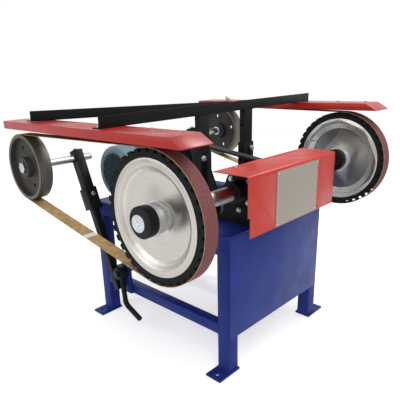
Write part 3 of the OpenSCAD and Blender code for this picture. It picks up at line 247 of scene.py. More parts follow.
def rings(tree, shader, axis, pitch, depth):
    """Turning marks about an X axis, and light stretched across them. Returns their pattern."""
    moved = add(tree, "ShaderNodeVectorMath", {0: place_of(tree), 1: (0, axis.y, axis.z)},
                operation="SUBTRACT")
    around = add(tree, "ShaderNodeVectorMath", {0: (1, 0, 0), 1: moved.outputs[0]},
                 operation="CROSS_PRODUCT")
    tree.links.new(around.outputs[0], shader.inputs["Tangent"])
    shader.inputs["Anisotropic"].default_value = STRETCH
    apart = add(tree, "ShaderNodeSeparateXYZ", {0: moved.outputs[0]})
    flat = add(tree, "ShaderNodeCombineXYZ", {"Y": apart.outputs["Y"], "Z": apart.outputs["Z"]})
    radius = add(tree, "ShaderNodeVectorMath", {0: flat.outputs[0]}, operation="LENGTH")
    along = add(tree, "ShaderNodeMath", {0: radius.outputs["Value"], 1: apart.outputs["X"]},
                operation="ADD")
    noise = add(tree, "ShaderNodeTexNoise",
                {"W": along.outputs[0], "Scale": 1 / pitch, "Detail": 3.0}, noise_dimensions="1D")
    relief(tree, shader, noise.outputs[0], depth)
    return noise.outputs[0]


def turned(name, dark, light, roughness, axis, pitch, depth, metallic=1.0):
    """Metal turned about an X axis, its rings between two tones."""
    made, tree, shader = material(name, light, roughness, metallic)
    two_tone(tree, shader, rings(tree, shader, axis, pitch, depth), dark, light, 0.25)
    return made


# %% Turned steel and aluminium, worn iron and the plain metals
MAT["turned_steel"] = turned("Turned bright steel", "#A9ADB1", "#DADDDF", 0.4,
                             spindle_at, 1.2 * MM, 0.02 * MM)
MAT["wheel_aluminium"] = turned("Turned cast aluminium", "#99958E", "#CFCCC6", 0.27,
                                spindle_at, 1.5 * MM, 0.03 * MM)
for side in SIDES:
    MAT[side + "_iron"] = turned("Worn machined iron, " + side + " idler", "#48443F", "#76716A",
                                 0.42, idler_at[side], 2.5 * MM, 0.05 * MM, 0.75)
MAT["zinc"] = material("Zinc plated steel", "#B9BBB8", 0.38, 0.9)[0]
MAT["cast_iron"] = material("Oily cast iron, unmachined", "#2C2A28", 0.6, 0.3)[0]
MAT["plate_sheet"] = material("Matt aluminium plate, bare", "#A39B90", 0.55, 0.35)[0]
MAT["oxide"] = material("Black oxide on bolt steel", "#2A2B2D", 0.4, 0.8)[0]
print(sorted(MAT))

# %% [markdown]
# ## Rubber, cloth and plastic
# The tyre is moulded rubber, dusted with grit. The belt is twilled cotton on its back, tan and
# dull, and its face is coated with brown aluminium oxide grit. V-belts are cord in black rubber.
# None of them shines, so relief and patches of tone carry them. The grit is drawn several times
# as coarse as it is, so that it shows. The splice tape and the polyamide are one even tone.

# %% Soft and moulded finishes
def matt(name, base, roughness, grain, depth, tones=None, **sockets):
    """A dull finish: relief of that grain and depth, and perhaps patches of two tones."""
    made, tree, shader = material(name, base, roughness, **sockets)
    if tones:
        mottle(tree, shader, *tones)
    bumps(tree, shader, grain, depth)
    return made


MAT["tyre_rubber"] = matt("Moulded tyre rubber, dusty", "#141617", 0.8, 1.5 * MM, 0.1 * MM,
                          ("#0E1011", "#202426", 35 * MM, 0.25), Specular_IOR_Level=0.12)
MAT["abrasive_cloth"] = matt("Aluminium oxide grit on belt face", "#7C4A4C", 0.85,
                             1.2 * MM, 0.25 * MM, ("#623638", "#94605F", 2.2 * MM, 0.22, 2.0),
                             Specular_IOR_Level=0.25)
MAT["belt_back"] = matt("Twilled cotton belt back", "#C49A66", 0.9, 1.5 * MM, 0.08 * MM,
                        ("#8F7349", "#C0A274", 22 * MM, 0.24), Specular_IOR_Level=0.2)
MAT["belt_rubber"] = matt("Rubberised cord of the V-belts", "#202224", 0.7, 1.2 * MM, 0.06 * MM)
MAT["splice_tape"] = material("Pale splice tape", "#DDD8CC", 0.55)[0]
MAT["black_plastic"] = material("Moulded black polyamide", "#1A1B1D", 0.5)[0]
print(len(MAT), "finishes")

# %% [markdown]
# ## Rounded edges
# A real tube or casting has no edge of zero width. The copy of a solid is merged, its flat faces
# are joined, and a bevel gives each edge the 0.25 to 2.5 mm that catches light. The construction
# mesh itself stays as it is: the copy stands for it. Round a hole, joined faces could fold over
# themselves, so in parts with holes the triangles are only paired.

# %% Make, shade and hand over a piece
SHARP = math.radians(32)


def shade(mesh):
    """Smooth faces, but corners above the sharp angle stay sharp."""
    mesh.shade_smooth()
    mesh.set_sharp_from_angle(angle=SHARP)


def mesh_object(name, bm):
    """A shaded object at the origin from a bmesh."""
    label = name.replace(", ", "_").replace(" ", "_")
    mesh = bpy.data.meshes.new(label)
    bm.to_mesh(mesh)
    bm.free()
    shade(mesh)
    obj = bpy.data.objects.new(label, mesh)
    bpy.context.scene.collection.objects.link(obj)
    return obj


def baked(obj):
    """Replaces the object's mesh by what its modifiers make, and removes them."""
    graph = bpy.context.evaluated_depsgraph_get()
    mesh = bpy.data.meshes.new_from_object(obj.evaluated_get(graph))
    obj.modifiers.clear()
    obj.data = mesh
    shade(mesh)


def keep(obj, body, slot, *nodes):
    """Gives a finished piece its body, and lets it stand for its nodes. The slot is not used."""
    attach(obj, body)
    if nodes:
        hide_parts(*nodes)
    return obj


# %% Copy a solid and round its edges
WELD = 0.002 * MM
FLAT = math.radians(0.6)
EDGE_ANGLE = math.radians(30)
HOLED = ("leg_front_left", "leg_front_right", "leg_rear_left", "leg_rear_right",
         "left_arm_tube", "right_arm_tube", "v_belts", "guard_tab")


def welded(node):
    """A solid's triangles as one closed bmesh."""
    bm = bmesh.new()
    bm.from_mesh(frame["nodes"][node].data)
    bmesh.ops.remove_doubles(bm, verts=bm.verts, dist=WELD)
    return bm


def merged(node):
    """A solid as a bmesh with its flat faces joined, or its triangles paired where it has holes."""
    bm = welded(node)
    if node in HOLED:
        bmesh.ops.join_triangles(bm, faces=bm.faces, angle_face_threshold=FLAT,
                                 angle_shape_threshold=math.pi)
    else:
        bmesh.ops.dissolve_limit(bm, angle_limit=FLAT, verts=bm.verts, edges=bm.edges)
    return bm


def rounded(node, width, finish):
    """A copy of a solid with its edges rounded to that width."""
    obj = mesh_object(node.replace("_", " ").capitalize(), merged(node))
    bevel = obj.modifiers.new("Edges", "BEVEL")
    bevel.width = width
    bevel.segments = 2
    bevel.limit_method = "ANGLE"
    bevel.angle_limit = EDGE_ANGLE
    bevel.use_clamp_overlap = True
    baked(obj)
    obj.data.materials.clear()
    obj.data.materials.append(finish)
    return keep(obj, BODY_OF[node], SLOT_OF[node], node)


# %% Widths in millimetres, and the rounded pieces
EDGES = {
    "leg_front_left": 2.5, "leg_front_right": 2.5, "leg_rear_left": 2.5, "leg_rear_right": 2.5,
    "stretchers": 2.5, "table_top": 1.2, "front_panel": 0.6,
    "pedestal_left": 2.5, "pedestal_right": 2.5, "bearing_caps": 1.5, "spindle_bearings": 1,
    "post_sleeves": 1.2, "spindle_cover": 0.5, "cover_plate": 0.25, "terminal_box": 1.5,
    "terminal_box_lid": 1, "cable_gland": 0.8, "motor_rails": 1.5, "pivot_brackets": 1,
    "spindle_shaft": 0.6, "spindle_pulley": 0.8, "lock_collars": 0.6, "motor_pulley": 0.8,
    "motor_shaft": 0.6, "left_arm_tube": 2, "left_arm_lever": 1.5,
    "right_arm_tube": 2, "right_arm_lever": 1.5, "left_axle": 0.8, "right_axle": 0.8,
    "left_guard": 0.5, "right_guard": 0.5, "front_crossbar": 0.6, "rear_crossbar": 0.6,
    "guard_posts": 1.5, "guard_tab": 0.4, "contact_wheel_left": 1.2, "contact_wheel_right": 1.2,
    "left_idler_wheel": 1, "right_idler_wheel": 1, "left_idler_bearings": 0.6,
    "right_idler_bearings": 0.6, "left_clamp_bolts": 1, "right_clamp_bolts": 1, "v_belts": 0.8,
    "cooling_fan": 0.5,
}
OWN_FINISH = {"cover_plate": MAT["plate_sheet"]}
for side in SIDES:
    OWN_FINISH[side + "_idler_wheel"] = MAT[side + "_iron"]
    OWN_FINISH[side + "_idler_bearings"] = MAT["oxide"]
pieces = {}
for node, width in EDGES.items():
    pieces[node] = rounded(node, width * MM, OWN_FINISH.get(node) or MAT[SLOT_OF[node]])
print(len(pieces), "solids rounded")

# %% [markdown]
# An idler is machined on its tread only, so its faces stay as cast. A contact wheel's hub sleeve
# is bright steel in an aluminium disc. Both are one solid each, so faces near the axis get a
# finish of their own.

# %% Cast idler faces and steel hub sleeves
HUB_R = 50 * MM
TREAD_SKIN = 1.5 * MM


def refinish(obj, axis, reach, finish):
    """Gives the faces that lie within a radius about an X axis a finish of their own."""
    obj.data.materials.append(finish)
    out = [math.hypot(v.co.y - axis.y, v.co.z - axis.z) for v in obj.data.vertices]
    for face in obj.data.polygons:
        if max(out[i] for i in face.vertices) <= reach:
            face.material_index = len(obj.data.materials) - 1


for side in SIDES:
    idler = side + "_idler_wheel"
    refinish(pieces[idler], idler_at[side], size(idler).z / 2 - TREAD_SKIN, MAT["cast_iron"])
    refinish(pieces["contact_wheel_" + side], spindle_at, HUB_R, MAT["turned_steel"])
print("cast within", round(size(idler).z / 2 - TREAD_SKIN, 4), "m, steel within", HUB_R, "m")

# %% [markdown]
# ## What repeats
# Teeth, ribs, holes, screws and weld ripples repeat by a rule, so Geometry Nodes make them. One
# small builder starts a tree with named inputs, and one ends it. Another gives an object such a
# tree, sets its inputs by their identifiers, and turns the result into a plain mesh.

# %% Start and use a Geometry Nodes tree
def grow(name, **sockets):
    """A new tree with Geometry in and out and named inputs. Returns tree, inputs and output."""
    tree = bpy.data.node_groups.new(name, "GeometryNodeTree")
    tree.interface.new_socket(name="Geometry", in_out="INPUT", socket_type="NodeSocketGeometry")
    for key, kind in sockets.items():
        tree.interface.new_socket(name=key, in_out="INPUT", socket_type="NodeSocket" + kind)
    tree.interface.new_socket(name="Material", in_out="INPUT", socket_type="NodeSocketMaterial")
    tree.interface.new_socket(name="Geometry", in_out="OUTPUT", socket_type="NodeSocketGeometry")
    return tree, add(tree, "NodeGroupInput").outputs, add(tree, "NodeGroupOutput")


def close(tree, source, made, out):
    """Realizes the instances, sets the material and ends the tree."""
    real = add(tree, "GeometryNodeRealizeInstances", {0: made})
    done = add(tree, "GeometryNodeSetMaterial",
               {"Geometry": real.outputs[0], "Material": source["Material"]})
    tree.links.new(done.outputs[0], out.inputs[0])
    print("tree", tree.name, "has", len(tree.nodes), "nodes")
    return tree


def grown(obj, tree, finish, weld=0.0, **values):
    """Runs the tree on the object and bakes it into a plain mesh."""
    used = obj.modifiers.new(tree.name, "NODES")
    used.node_group = tree
    keys = {s.name: s.identifier for s in tree.interface.items_tree if s.in_out == "INPUT"}
    for key, value in dict(values, Material=finish).items():
        used[keys[key]] = value
    baked(obj)
    if weld:
        bm = bmesh.new()
        bm.from_mesh(obj.data)
        bmesh.ops.remove_doubles(bm, verts=bm.verts, dist=weld)
        bm.to_mesh(obj.data)
        bm.free()
        shade(obj.data)
    return obj


# %% [markdown]
# The first tree repeats a unit evenly round an X axis, for the tyres' teeth and the motor's ribs.
# It leaves out the copies that point below a limit: the ribs stop where the feet are. The tyres
# set the limit below anything a sine can be, so they keep every tooth.

# %% Tree: a unit repeated round an X axis
def make_ring_tree():
    """Copies of a unit round an X axis, apart from those whose angle points too low."""
    tree, source, out = grow("Repeat round an axis", Count="Int", Centre="Vector", Lowest="Float")
    points = add(tree, "GeometryNodePoints", {"Count": source["Count"]})
    index = add(tree, "GeometryNodeInputIndex")
    share = add(tree, "ShaderNodeMath", {0: index.outputs[0], 1: source["Count"]},
                operation="DIVIDE")
    angle = add(tree, "ShaderNodeMath", {0: share.outputs[0], 1: math.tau}, operation="MULTIPLY")
    height = add(tree, "ShaderNodeMath", {0: angle.outputs[0]}, operation="SINE")
    chosen = add(tree, "FunctionNodeCompare", {0: height.outputs[0], 1: source["Lowest"]},
                 data_type="FLOAT", operation="GREATER_THAN")
    turned_by = add(tree, "ShaderNodeCombineXYZ", {"X": angle.outputs[0]})
    copies = add(tree, "GeometryNodeInstanceOnPoints",
                 {"Points": points.outputs[0], "Selection": chosen.outputs[0],
                  "Instance": source["Geometry"], "Rotation": turned_by.outputs[0]})
    moved = add(tree, "GeometryNodeTransform",
                {"Geometry": copies.outputs[0], "Translation": source["Centre"]})
    return close(tree, source, moved.outputs[0], out)


RING = make_ring_tree()
ALL_ROUND = -2.0

# %% [markdown]
# ## Serrated tyres
# Each tyre is one moulding: a rubber ring with 38 slanted lands round its tread. One pitch of it
# is built as a mesh, a wedge of ring with half a slot at each end, and the tree repeats it 38
# times. The lands lean 30 degrees, and the two wheels lean opposite ways. Every vertex of the
# wedge lies on a radius, so that neighbours meet exactly and weld into one closed ring.

# %% One pitch of the tread, and the two tyres
TEETH = 38
TYRE_R = size("serrated_tyre_left").z / 2
TYRE_IN = size("contact_wheel_left").z / 2
TYRE_W = size("serrated_tyre_left").x
SLOT = 12 * MM
SLOT_DEPTH = 10 * MM
SLANT = math.radians(30)
LAND_ROUND = 1.2 * MM
TREAD_STEPS = 8


def tyre_pitch(lean):
    """A wedge of tyre about the X axis, from the middle of one slot to the middle of the next."""
    pitch = math.tau / TEETH
    half_slot = SLOT / 2 / TYRE_R / math.cos(SLANT)
    floor_r = TYRE_R - SLOT_DEPTH
    corner = LAND_ROUND / TYRE_R
    outline = [(0, TYRE_IN), (0, floor_r), (half_slot * 0.5, floor_r),
               (half_slot - corner, floor_r), (half_slot, floor_r + LAND_ROUND),
               (half_slot, TYRE_R - LAND_ROUND), (half_slot + corner, TYRE_R)]
    rising = len(outline)
    land = pitch - 2 * (half_slot + corner)
    outline += [(half_slot + corner + land * k / 4, TYRE_R) for k in (1, 2, 3)]
    outline += [(pitch - a, r) for a, r in reversed(outline[:rising])]
    ring = outline + [(pitch * k / 4, TYRE_IN) for k in (3, 2, 1)]
    open_edges = (0, len(outline) - 2)  # the wedge's two cut faces, where its neighbours join on
    bm = bmesh.new()
    rows = []
    for i in range(TREAD_STEPS + 1):
        x = (i / TREAD_STEPS - 0.5) * TYRE_W
        shift = lean * x * math.tan(SLANT) / TYRE_R
        rows.append([bm.verts.new((x, r * math.cos(a + shift), r * math.sin(a + shift)))
                     for a, r in ring])
    for here, there in zip(rows, rows[1:]):
        for k in range(len(ring)):
            if k not in open_edges:
                m = (k + 1) % len(ring)
                bm.faces.new((here[k], here[m], there[m], there[k]))
    bm.faces.new(list(reversed(rows[0])))
    bm.faces.new(rows[-1])
    bmesh.ops.recalc_face_normals(bm, faces=bm.faces)
    return bm


for side, lean in SIDES.items():
    node = "serrated_tyre_" + side
    tyre = mesh_object("Serrated tyre, " + side, tyre_pitch(lean))
    grown(tyre, RING, MAT["tyre_rubber"], weld=0.02 * MM, Count=TEETH, Lowest=ALL_ROUND,
          Centre=(middle(node).x, spindle_at.y, spindle_at.z))
    pieces[node] = keep(tyre, "spindle", "tyre_rubber", node)
    print(tyre.name, len(tyre.data.polygons), "faces")

# %% [markdown]
# ## Abrasive belts
# A grinding belt is a strip of cotton cloth, joined end to end and coated on its outside. It hangs
# on two wheels, so its path is two arcs and two straight tangents. Cloth isn't quite straight
# between the wheels: the lower run sags by 1.2 mm. A pale tape on its back covers the splice.

# %% The path of a belt
BELT_T = 2 * MM
BELT_W = size("left_abrasive_belt").x
BELT_GAP = 0.4 * MM
WHEEL_R = TYRE_R + BELT_GAP
IDLER_R = size("left_idler_wheel").z / 2 + BELT_GAP
SAG = 1.2 * MM
PER_ARC, PER_RUN = 90, 60


def loop_path(a, ra, b, rb):
    """Points and outward normals in (y, z) of a belt's inner face round circles a and b."""
    way = math.atan2(b[1] - a[1], b[0] - a[0])
    apart = math.hypot(b[0] - a[0], b[1] - a[1])
    spread = math.acos((ra - rb) / apart)
    path = []

    def arc(c, r, start, end):
        for i in range(PER_ARC):
            t = start + (end - start) * i / PER_ARC
            path.append((c[0] + r * math.cos(t), c[1] + r * math.sin(t), math.cos(t), math.sin(t)))

    def run(p, r, q, s, t, sag):
        for i in range(PER_RUN):
            f = i / PER_RUN
            y = (p[0] + r * math.cos(t)) * (1 - f) + (q[0] + s * math.cos(t)) * f
            z = (p[1] + r * math.sin(t)) * (1 - f) + (q[1] + s * math.sin(t)) * f
            drop = sag * 4 * f * (1 - f)
            path.append((y, z - drop, math.cos(t), math.sin(t)))

    arc(a, ra, way + spread, way + math.tau - spread)
    run(a, ra, b, rb, way - spread, SAG)
    arc(b, rb, way - spread, way + spread)
    run(b, rb, a, ra, way + spread, 0)
    return path


print("belt's inner radii", round(WHEEL_R, 4), round(IDLER_R, 4))

# %% [markdown]
# The belt is a closed strip, five points wide, laid along that path: grit outside, cloth inside
# and on its edges. The idler's end moves with the arm.

# %% The two belts
LANES = 5
SPLICE_AT = PER_ARC + int(PER_RUN * 0.44)
SPLICE = range(SPLICE_AT, SPLICE_AT + 2)


def belt(side):
    """A belt as one closed strip with its grit, cloth and splice tape."""
    path = loop_path(spindle_at.yz, WHEEL_R, idler_at[side].yz, IDLER_R)
    bm = bmesh.new()
    x0 = middle(side + "_abrasive_belt").x
    across = [x0 + BELT_W * (j / (LANES - 1) - 0.5) for j in range(LANES)]
    rows = []
    for y, z, ny, nz in path:
        back = [bm.verts.new((x, y, z)) for x in across]
        face = [bm.verts.new((x, y + BELT_T * ny, z + BELT_T * nz)) for x in reversed(across)]
        rows.append(back + face)
    grit, cloth, tape = range(3)
    for i, row in enumerate(rows):
        nxt = rows[(i + 1) % len(rows)]
        for k in range(2 * LANES):
            m = (k + 1) % (2 * LANES)
            made = bm.faces.new((row[k], nxt[k], nxt[m], row[m]))
            made.material_index = cloth
            if LANES <= k < 2 * LANES - 1:
                made.material_index = grit
            elif i in SPLICE and k < LANES - 1:
                made.material_index = tape
    bmesh.ops.recalc_face_normals(bm, faces=bm.faces)
    obj = mesh_object("Abrasive belt, " + side, bm)
    for name in ("abrasive_cloth", "belt_back", "splice_tape"):
        obj.data.materials.append(MAT[name])
    return obj


for side in SIDES:
    node = side + "_abrasive_belt"
    strip = belt(side)
    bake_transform(strip)
    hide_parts(node)
    pieces[node] = strip
    print(strip.name, len(strip.data.polygons), "faces")

# %% [markdown]
# ## Motor
# A totally enclosed motor sheds heat through ribs cast along its body. Its core is a revolve: a
# profile of distance along the shaft and radius, turned about the shaft. Box shapes and a way of
# joining parts, with their materials, serve the feet and later pieces.

# %% Turn a profile, add a box, join parts
ROUND_STEPS = 96


def lathe(name, profile, centre):
    """A closed profile of (x, radius) points turned about an X axis through centre."""
    bm = bmesh.new()
    rows = []
    for i in range(ROUND_STEPS):
        a = math.tau * i / ROUND_STEPS
        rows.append([bm.verts.new((x, centre.y + r * math.cos(a), centre.z + r * math.sin(a)))
                     for x, r in profile])
    for i, here in enumerate(rows):
        there = rows[(i + 1) % ROUND_STEPS]
        for k in range(len(profile)):
            m = (k + 1) % len(profile)
            bm.faces.new((here[k], here[m], there[m], there[k]))
    bmesh.ops.remove_doubles(bm, verts=bm.verts, dist=0.001 * MM)
    bmesh.ops.dissolve_degenerate(bm, edges=bm.edges, dist=0.0005 * MM)
    bmesh.ops.recalc_face_normals(bm, faces=bm.faces)
    return mesh_object(name, bm)


def box_bm(bm, low, high):
    """Adds a box to a bmesh and returns its vertices."""
    made = bmesh.ops.create_cube(bm, size=1)["verts"]
    for v in made:
        v.co = Vector([(low[i] + high[i]) / 2 + v.co[i] * (high[i] - low[i]) for i in range(3)])
    return made


def joined(name, *parts):
    """One object from several, keeping their materials."""
    bm = bmesh.new()
    mats = []
    for part in parts:
        first = len(bm.faces)
        bm.from_mesh(part.data)
        bm.faces.ensure_lookup_table()
        offset = {}
        for i, m in enumerate(part.data.materials):
            if m not in mats:
                mats.append(m)
            offset[i] = mats.index(m)
        for f in bm.faces[first:]:
            f.material_index = offset.get(f.material_index, 0)
    obj = mesh_object(name, bm)
    for m in mats:
        obj.data.materials.append(m)
    for part in parts:
        bpy.data.objects.remove(part)
    return obj


# %% Motor core with its end shields
CORE_R = 99 * MM
SHIELD = 14 * MM
SHAFT_BORE = 14.05 * MM
body_low, body_high = corners("motor_body")
x0, x1 = body_low.x, body_high.x
core = lathe("Motor core", [
    (x0, SHAFT_BORE), (x0, CORE_R - 8 * MM), (x0 + 2 * MM, CORE_R - 6 * MM),
    (x0 + 4 * MM, CORE_R - 2 * MM), (x0 + 6 * MM, CORE_R), (x0 + SHIELD - 1 * MM, CORE_R),
    (x0 + SHIELD, CORE_R - 1.5 * MM), (x1 - SHIELD, CORE_R - 1.5 * MM),
    (x1 - SHIELD + 1 * MM, CORE_R), (x1 - 9 * MM, CORE_R), (x1 - 5 * MM, CORE_R - 3 * MM),
    (x1 - 3 * MM, CORE_R - 12 * MM), (x1 - 4 * MM, 62 * MM), (x1 - 1 * MM, 56 * MM),
    (x1 - 1 * MM, 34 * MM), (x1, 32 * MM), (x1, SHAFT_BORE)], motor_at)
core.data.materials.append(MAT["motor_paint"])
print(core.name, len(core.data.polygons), "faces")

# %% [markdown]
# The ribs are one blade that the ring tree repeats. It tapers to the tip and its ends slope, as a
# casting must to leave its mould.

# %% Motor ribs
RIBS = 32
RIB_R = 110 * MM
RIB_T = 3.5 * MM
RIB_ROOT = CORE_R - 3 * MM
RIB_SLOPE = 3 * MM
RIB_TIP_HALF = RIB_T * 0.3
LOWEST_RIB = -0.7  # sine of the angle below which the feet take the ribs' place


def rib():
    """One rib at the +Y side of the axis, tapered towards its tip and ends."""
    bm = bmesh.new()
    a, b, w, t = x0 + SHIELD, x1 - SHIELD, RIB_T / 2, RIB_TIP_HALF
    low = [(a, RIB_ROOT, -w), (b, RIB_ROOT, -w), (b, RIB_ROOT, w), (a, RIB_ROOT, w)]
    a, b = a + RIB_SLOPE, b - RIB_SLOPE
    high = [(a, RIB_R, -t), (b, RIB_R, -t), (b, RIB_R, t), (a, RIB_R, t)]
    v = [bm.verts.new(c) for c in low + high]
    for f in ((0, 1, 2, 3), (4, 7, 6, 5), (0, 4, 5, 1), (1, 5, 6, 2), (2, 6, 7, 3), (3, 7, 4, 0)):
        bm.faces.new([v[k] for k in f])
    bmesh.ops.recalc_face_normals(bm, faces=bm.faces)
    tip = [e for e in bm.edges if all(q.co.y > RIB_R - 1e-6 for q in e.verts)]
    bmesh.ops.bevel(bm, geom=tip, offset=0.6 * MM, segments=2, affect="EDGES")
    return mesh_object("Motor ribs", bm)


ribs = grown(rib(), RING, MAT["motor_paint"], Count=RIBS, Lowest=LOWEST_RIB,
             Centre=(0, motor_at.y, motor_at.z))
print(ribs.name, len(ribs.data.polygons), "faces")

# %% [markdown]
# Each foot is a flat bar across a slide rail, with two webs that lean in under the body. Every
# edge is rounded by 2 mm, as on a sand casting.

# %% Motor feet, and the whole body
RAIL_W = 40 * MM
FOOT_W = 44 * MM
FOOT_T = 12 * MM
FOOT_HALF = RIB_R * 0.75
WEB_HALF = 5 * MM
WEB_LEAN = 4 * MM
WEB_TOP = motor_at.z - CORE_R * 0.75
rail_low, rail_high = corners("motor_rails")
foot_top = rail_high.z + FOOT_T
feet_bm = bmesh.new()
for x in (rail_low.x + RAIL_W / 2, rail_high.x - RAIL_W / 2):
    left_x, right_x = x - FOOT_W / 2, x + FOOT_W / 2
    box_bm(feet_bm, (left_x, motor_at.y - FOOT_HALF, rail_high.z),
           (right_x, motor_at.y + FOOT_HALF, foot_top))
    for s in (-1, 1):
        web_y = motor_at.y + s * FOOT_HALF * 0.5
        web = box_bm(feet_bm, (left_x, web_y - WEB_HALF, foot_top - 1 * MM),
                     (right_x, web_y + WEB_HALF, WEB_TOP))
        for v in web:
            if v.co.z > foot_top:
                v.co.y += s * WEB_LEAN
bmesh.ops.bevel(feet_bm, geom=feet_bm.edges[:], offset=2 * MM, segments=2, affect="EDGES")
feet = mesh_object("Motor feet", feet_bm)
feet.data.materials.append(MAT["motor_paint"])
motor = joined("Motor body with ribs and feet", core, ribs, feet)
pieces["motor_body"] = keep(motor, "base", "motor_paint", "motor_body")
print(motor.name, len(motor.data.polygons), "faces")

# %% [markdown]
# ## Fan cover
# The hood over the fan is pressed sheet with a punched face. The face is one hexagonal tile with
# a round hole, which a tree lays out in offset rows and keeps inside a circle. Neighbouring tiles
# share their edges, so the face welds into one sheet.

# %% Tree: tiles in offset rows
def make_tile_tree():
    """Copies of a tile in offset rows within a circle, turned to face along X."""
    tree, source, out = grow("Lay tiles in offset rows", Rows="Int", Pitch="Float", Reach="Float",
                             Centre="Vector")
    gaps = add(tree, "ShaderNodeMath", {0: source["Rows"], 1: 1.0}, operation="SUBTRACT")
    wide = add(tree, "ShaderNodeMath", {0: gaps.outputs[0], 1: source["Pitch"]},
               operation="MULTIPLY")
    tall = add(tree, "ShaderNodeMath", {0: wide.outputs[0], 1: math.sqrt(0.75)},
               operation="MULTIPLY")
    grid = add(tree, "GeometryNodeMeshGrid",
               {"Size X": wide.outputs[0], "Size Y": tall.outputs[0],
                "Vertices X": source["Rows"], "Vertices Y": source["Rows"]})
    index = add(tree, "GeometryNodeInputIndex")
    row = add(tree, "ShaderNodeMath", {0: index.outputs[0], 1: source["Rows"]}, operation="MODULO")
    odd = add(tree, "ShaderNodeMath", {0: row.outputs[0], 1: 2.0}, operation="MODULO")
    nudge = add(tree, "ShaderNodeMath", {0: odd.outputs[0], 1: source["Pitch"]},
                operation="MULTIPLY")
    half = add(tree, "ShaderNodeMath", {0: nudge.outputs[0], 1: 0.5}, operation="MULTIPLY")
    shift = add(tree, "ShaderNodeCombineXYZ", {"X": half.outputs[0]})
    offset = add(tree, "GeometryNodeSetPosition",
                 {"Geometry": grid.outputs[0], "Offset": shift.outputs[0]})
    at = add(tree, "GeometryNodeInputPosition")
    far = add(tree, "ShaderNodeVectorMath", {0: at.outputs[0]}, operation="LENGTH")
    chosen = add(tree, "FunctionNodeCompare", {0: far.outputs["Value"], 1: source["Reach"]},
                 data_type="FLOAT", operation="LESS_THAN")
    copies = add(tree, "GeometryNodeInstanceOnPoints",
                 {"Points": offset.outputs[0], "Selection": chosen.outputs[0],
                  "Instance": source["Geometry"]})
    upright = add(tree, "GeometryNodeTransform",
                  {"Geometry": copies.outputs[0], "Translation": source["Centre"],
                   "Rotation": (0, math.radians(-90), 0)})
    return close(tree, source, upright.outputs[0], out)


# %% The punched face
HOLE_PITCH = 13 * MM
HOLE_R = 4.9 * MM
TILE_SIDES = 18
SHEET = 2 * MM
FACE_R = 92 * MM
cover_low, cover_high = corners("fan_cover")


def tile():
    """A hexagonal sheet tile with a round hole, its faces along local Z."""
    bm = bmesh.new()
    apothem = HOLE_PITCH / 2
    rows = []
    for z, at_rim in ((0, False), (0, True), (SHEET, True), (SHEET, False)):
        ring = []
        for i in range(TILE_SIDES):
            a = math.tau * i / TILE_SIDES
            r = apothem / math.cos(a % (math.pi / 3) - math.pi / 6) if at_rim else HOLE_R
            ring.append(bm.verts.new((-r * math.sin(a), r * math.cos(a), z)))
        rows.append(ring)
    for i in range(TILE_SIDES):
        m = (i + 1) % TILE_SIDES
        for here, there in ((0, 1), (2, 3), (3, 0)):
            bm.faces.new((rows[here][i], rows[here][m], rows[there][m], rows[there][i]))
    bmesh.ops.recalc_face_normals(bm, faces=bm.faces)
    return mesh_object("Punched face", bm)


# The punched face gets the darker copy of the motor enamel, which is painted shade.
punched = grown(tile(), make_tile_tree(), MAT["fan_face_paint"], weld=0.05 * MM, Rows=17,
                Pitch=HOLE_PITCH, Reach=FACE_R - HOLE_PITCH * 0.5,
                Centre=(cover_low.x + SHEET, motor_at.y, motor_at.z))
print(punched.name, len(punched.data.polygons), "faces")

# %% [markdown]
# The hood's side is a revolve: out over a rounded shoulder, back along the inside of the sheet,
# and a lip that overlaps the punched face.

# %% Hood and the whole cover
COVER_R = size("fan_cover").z / 2
SHOULDER = 14 * MM
LIP = 10 * MM


def shoulder(radius, angles):
    """Points of (x, radius) along the shoulder's quarter circle."""
    return [(cover_low.x + SHOULDER - radius * math.cos(math.radians(a)),
             COVER_R - SHOULDER + radius * math.sin(math.radians(a))) for a in angles]


hood = lathe("Fan hood", [
    (cover_low.x + 0.4 * MM, FACE_R - LIP), (cover_low.x, FACE_R - LIP + 2 * MM),
    *shoulder(SHOULDER, range(0, 91, 15)),
    (cover_high.x, COVER_R), (cover_high.x, COVER_R - SHEET),
    *shoulder(SHOULDER - SHEET, range(90, -1, -15)),
    (cover_low.x + SHEET + 0.2 * MM, FACE_R - LIP)], motor_at)
hood.data.materials.append(MAT["motor_paint"])
hood = joined("Perforated fan cover", hood, punched)
pieces["fan_cover"] = keep(hood, "base", "motor_paint", "fan_cover")
print(hood.name, len(hood.data.polygons), "faces")

# %% [markdown]
# ## Screws, bolts and rivets
# Every bolt is the same part in several sizes: a hexagon head with a chamfered crown, on a washer.
# The tree makes it from named sizes and puts it on each given point, turned to face one way. The
# points come from the solids: each closed lump of a screw node is one screw.

# %% Tree: a hexagon bolt on each point
# Each size of a bolt is a share of one of its named inputs.
SHARES = {"washer r": ("Head", 1.18), "washer t": ("Height", 0.18), "head t": ("Height", 0.78),
          "head z": ("Height", 0.51), "crown low": ("Head", 0.9), "crown high": ("Head", 0.72),
          "crown z": ("Height", 0.89), "shank z": ("Length", -0.5)}


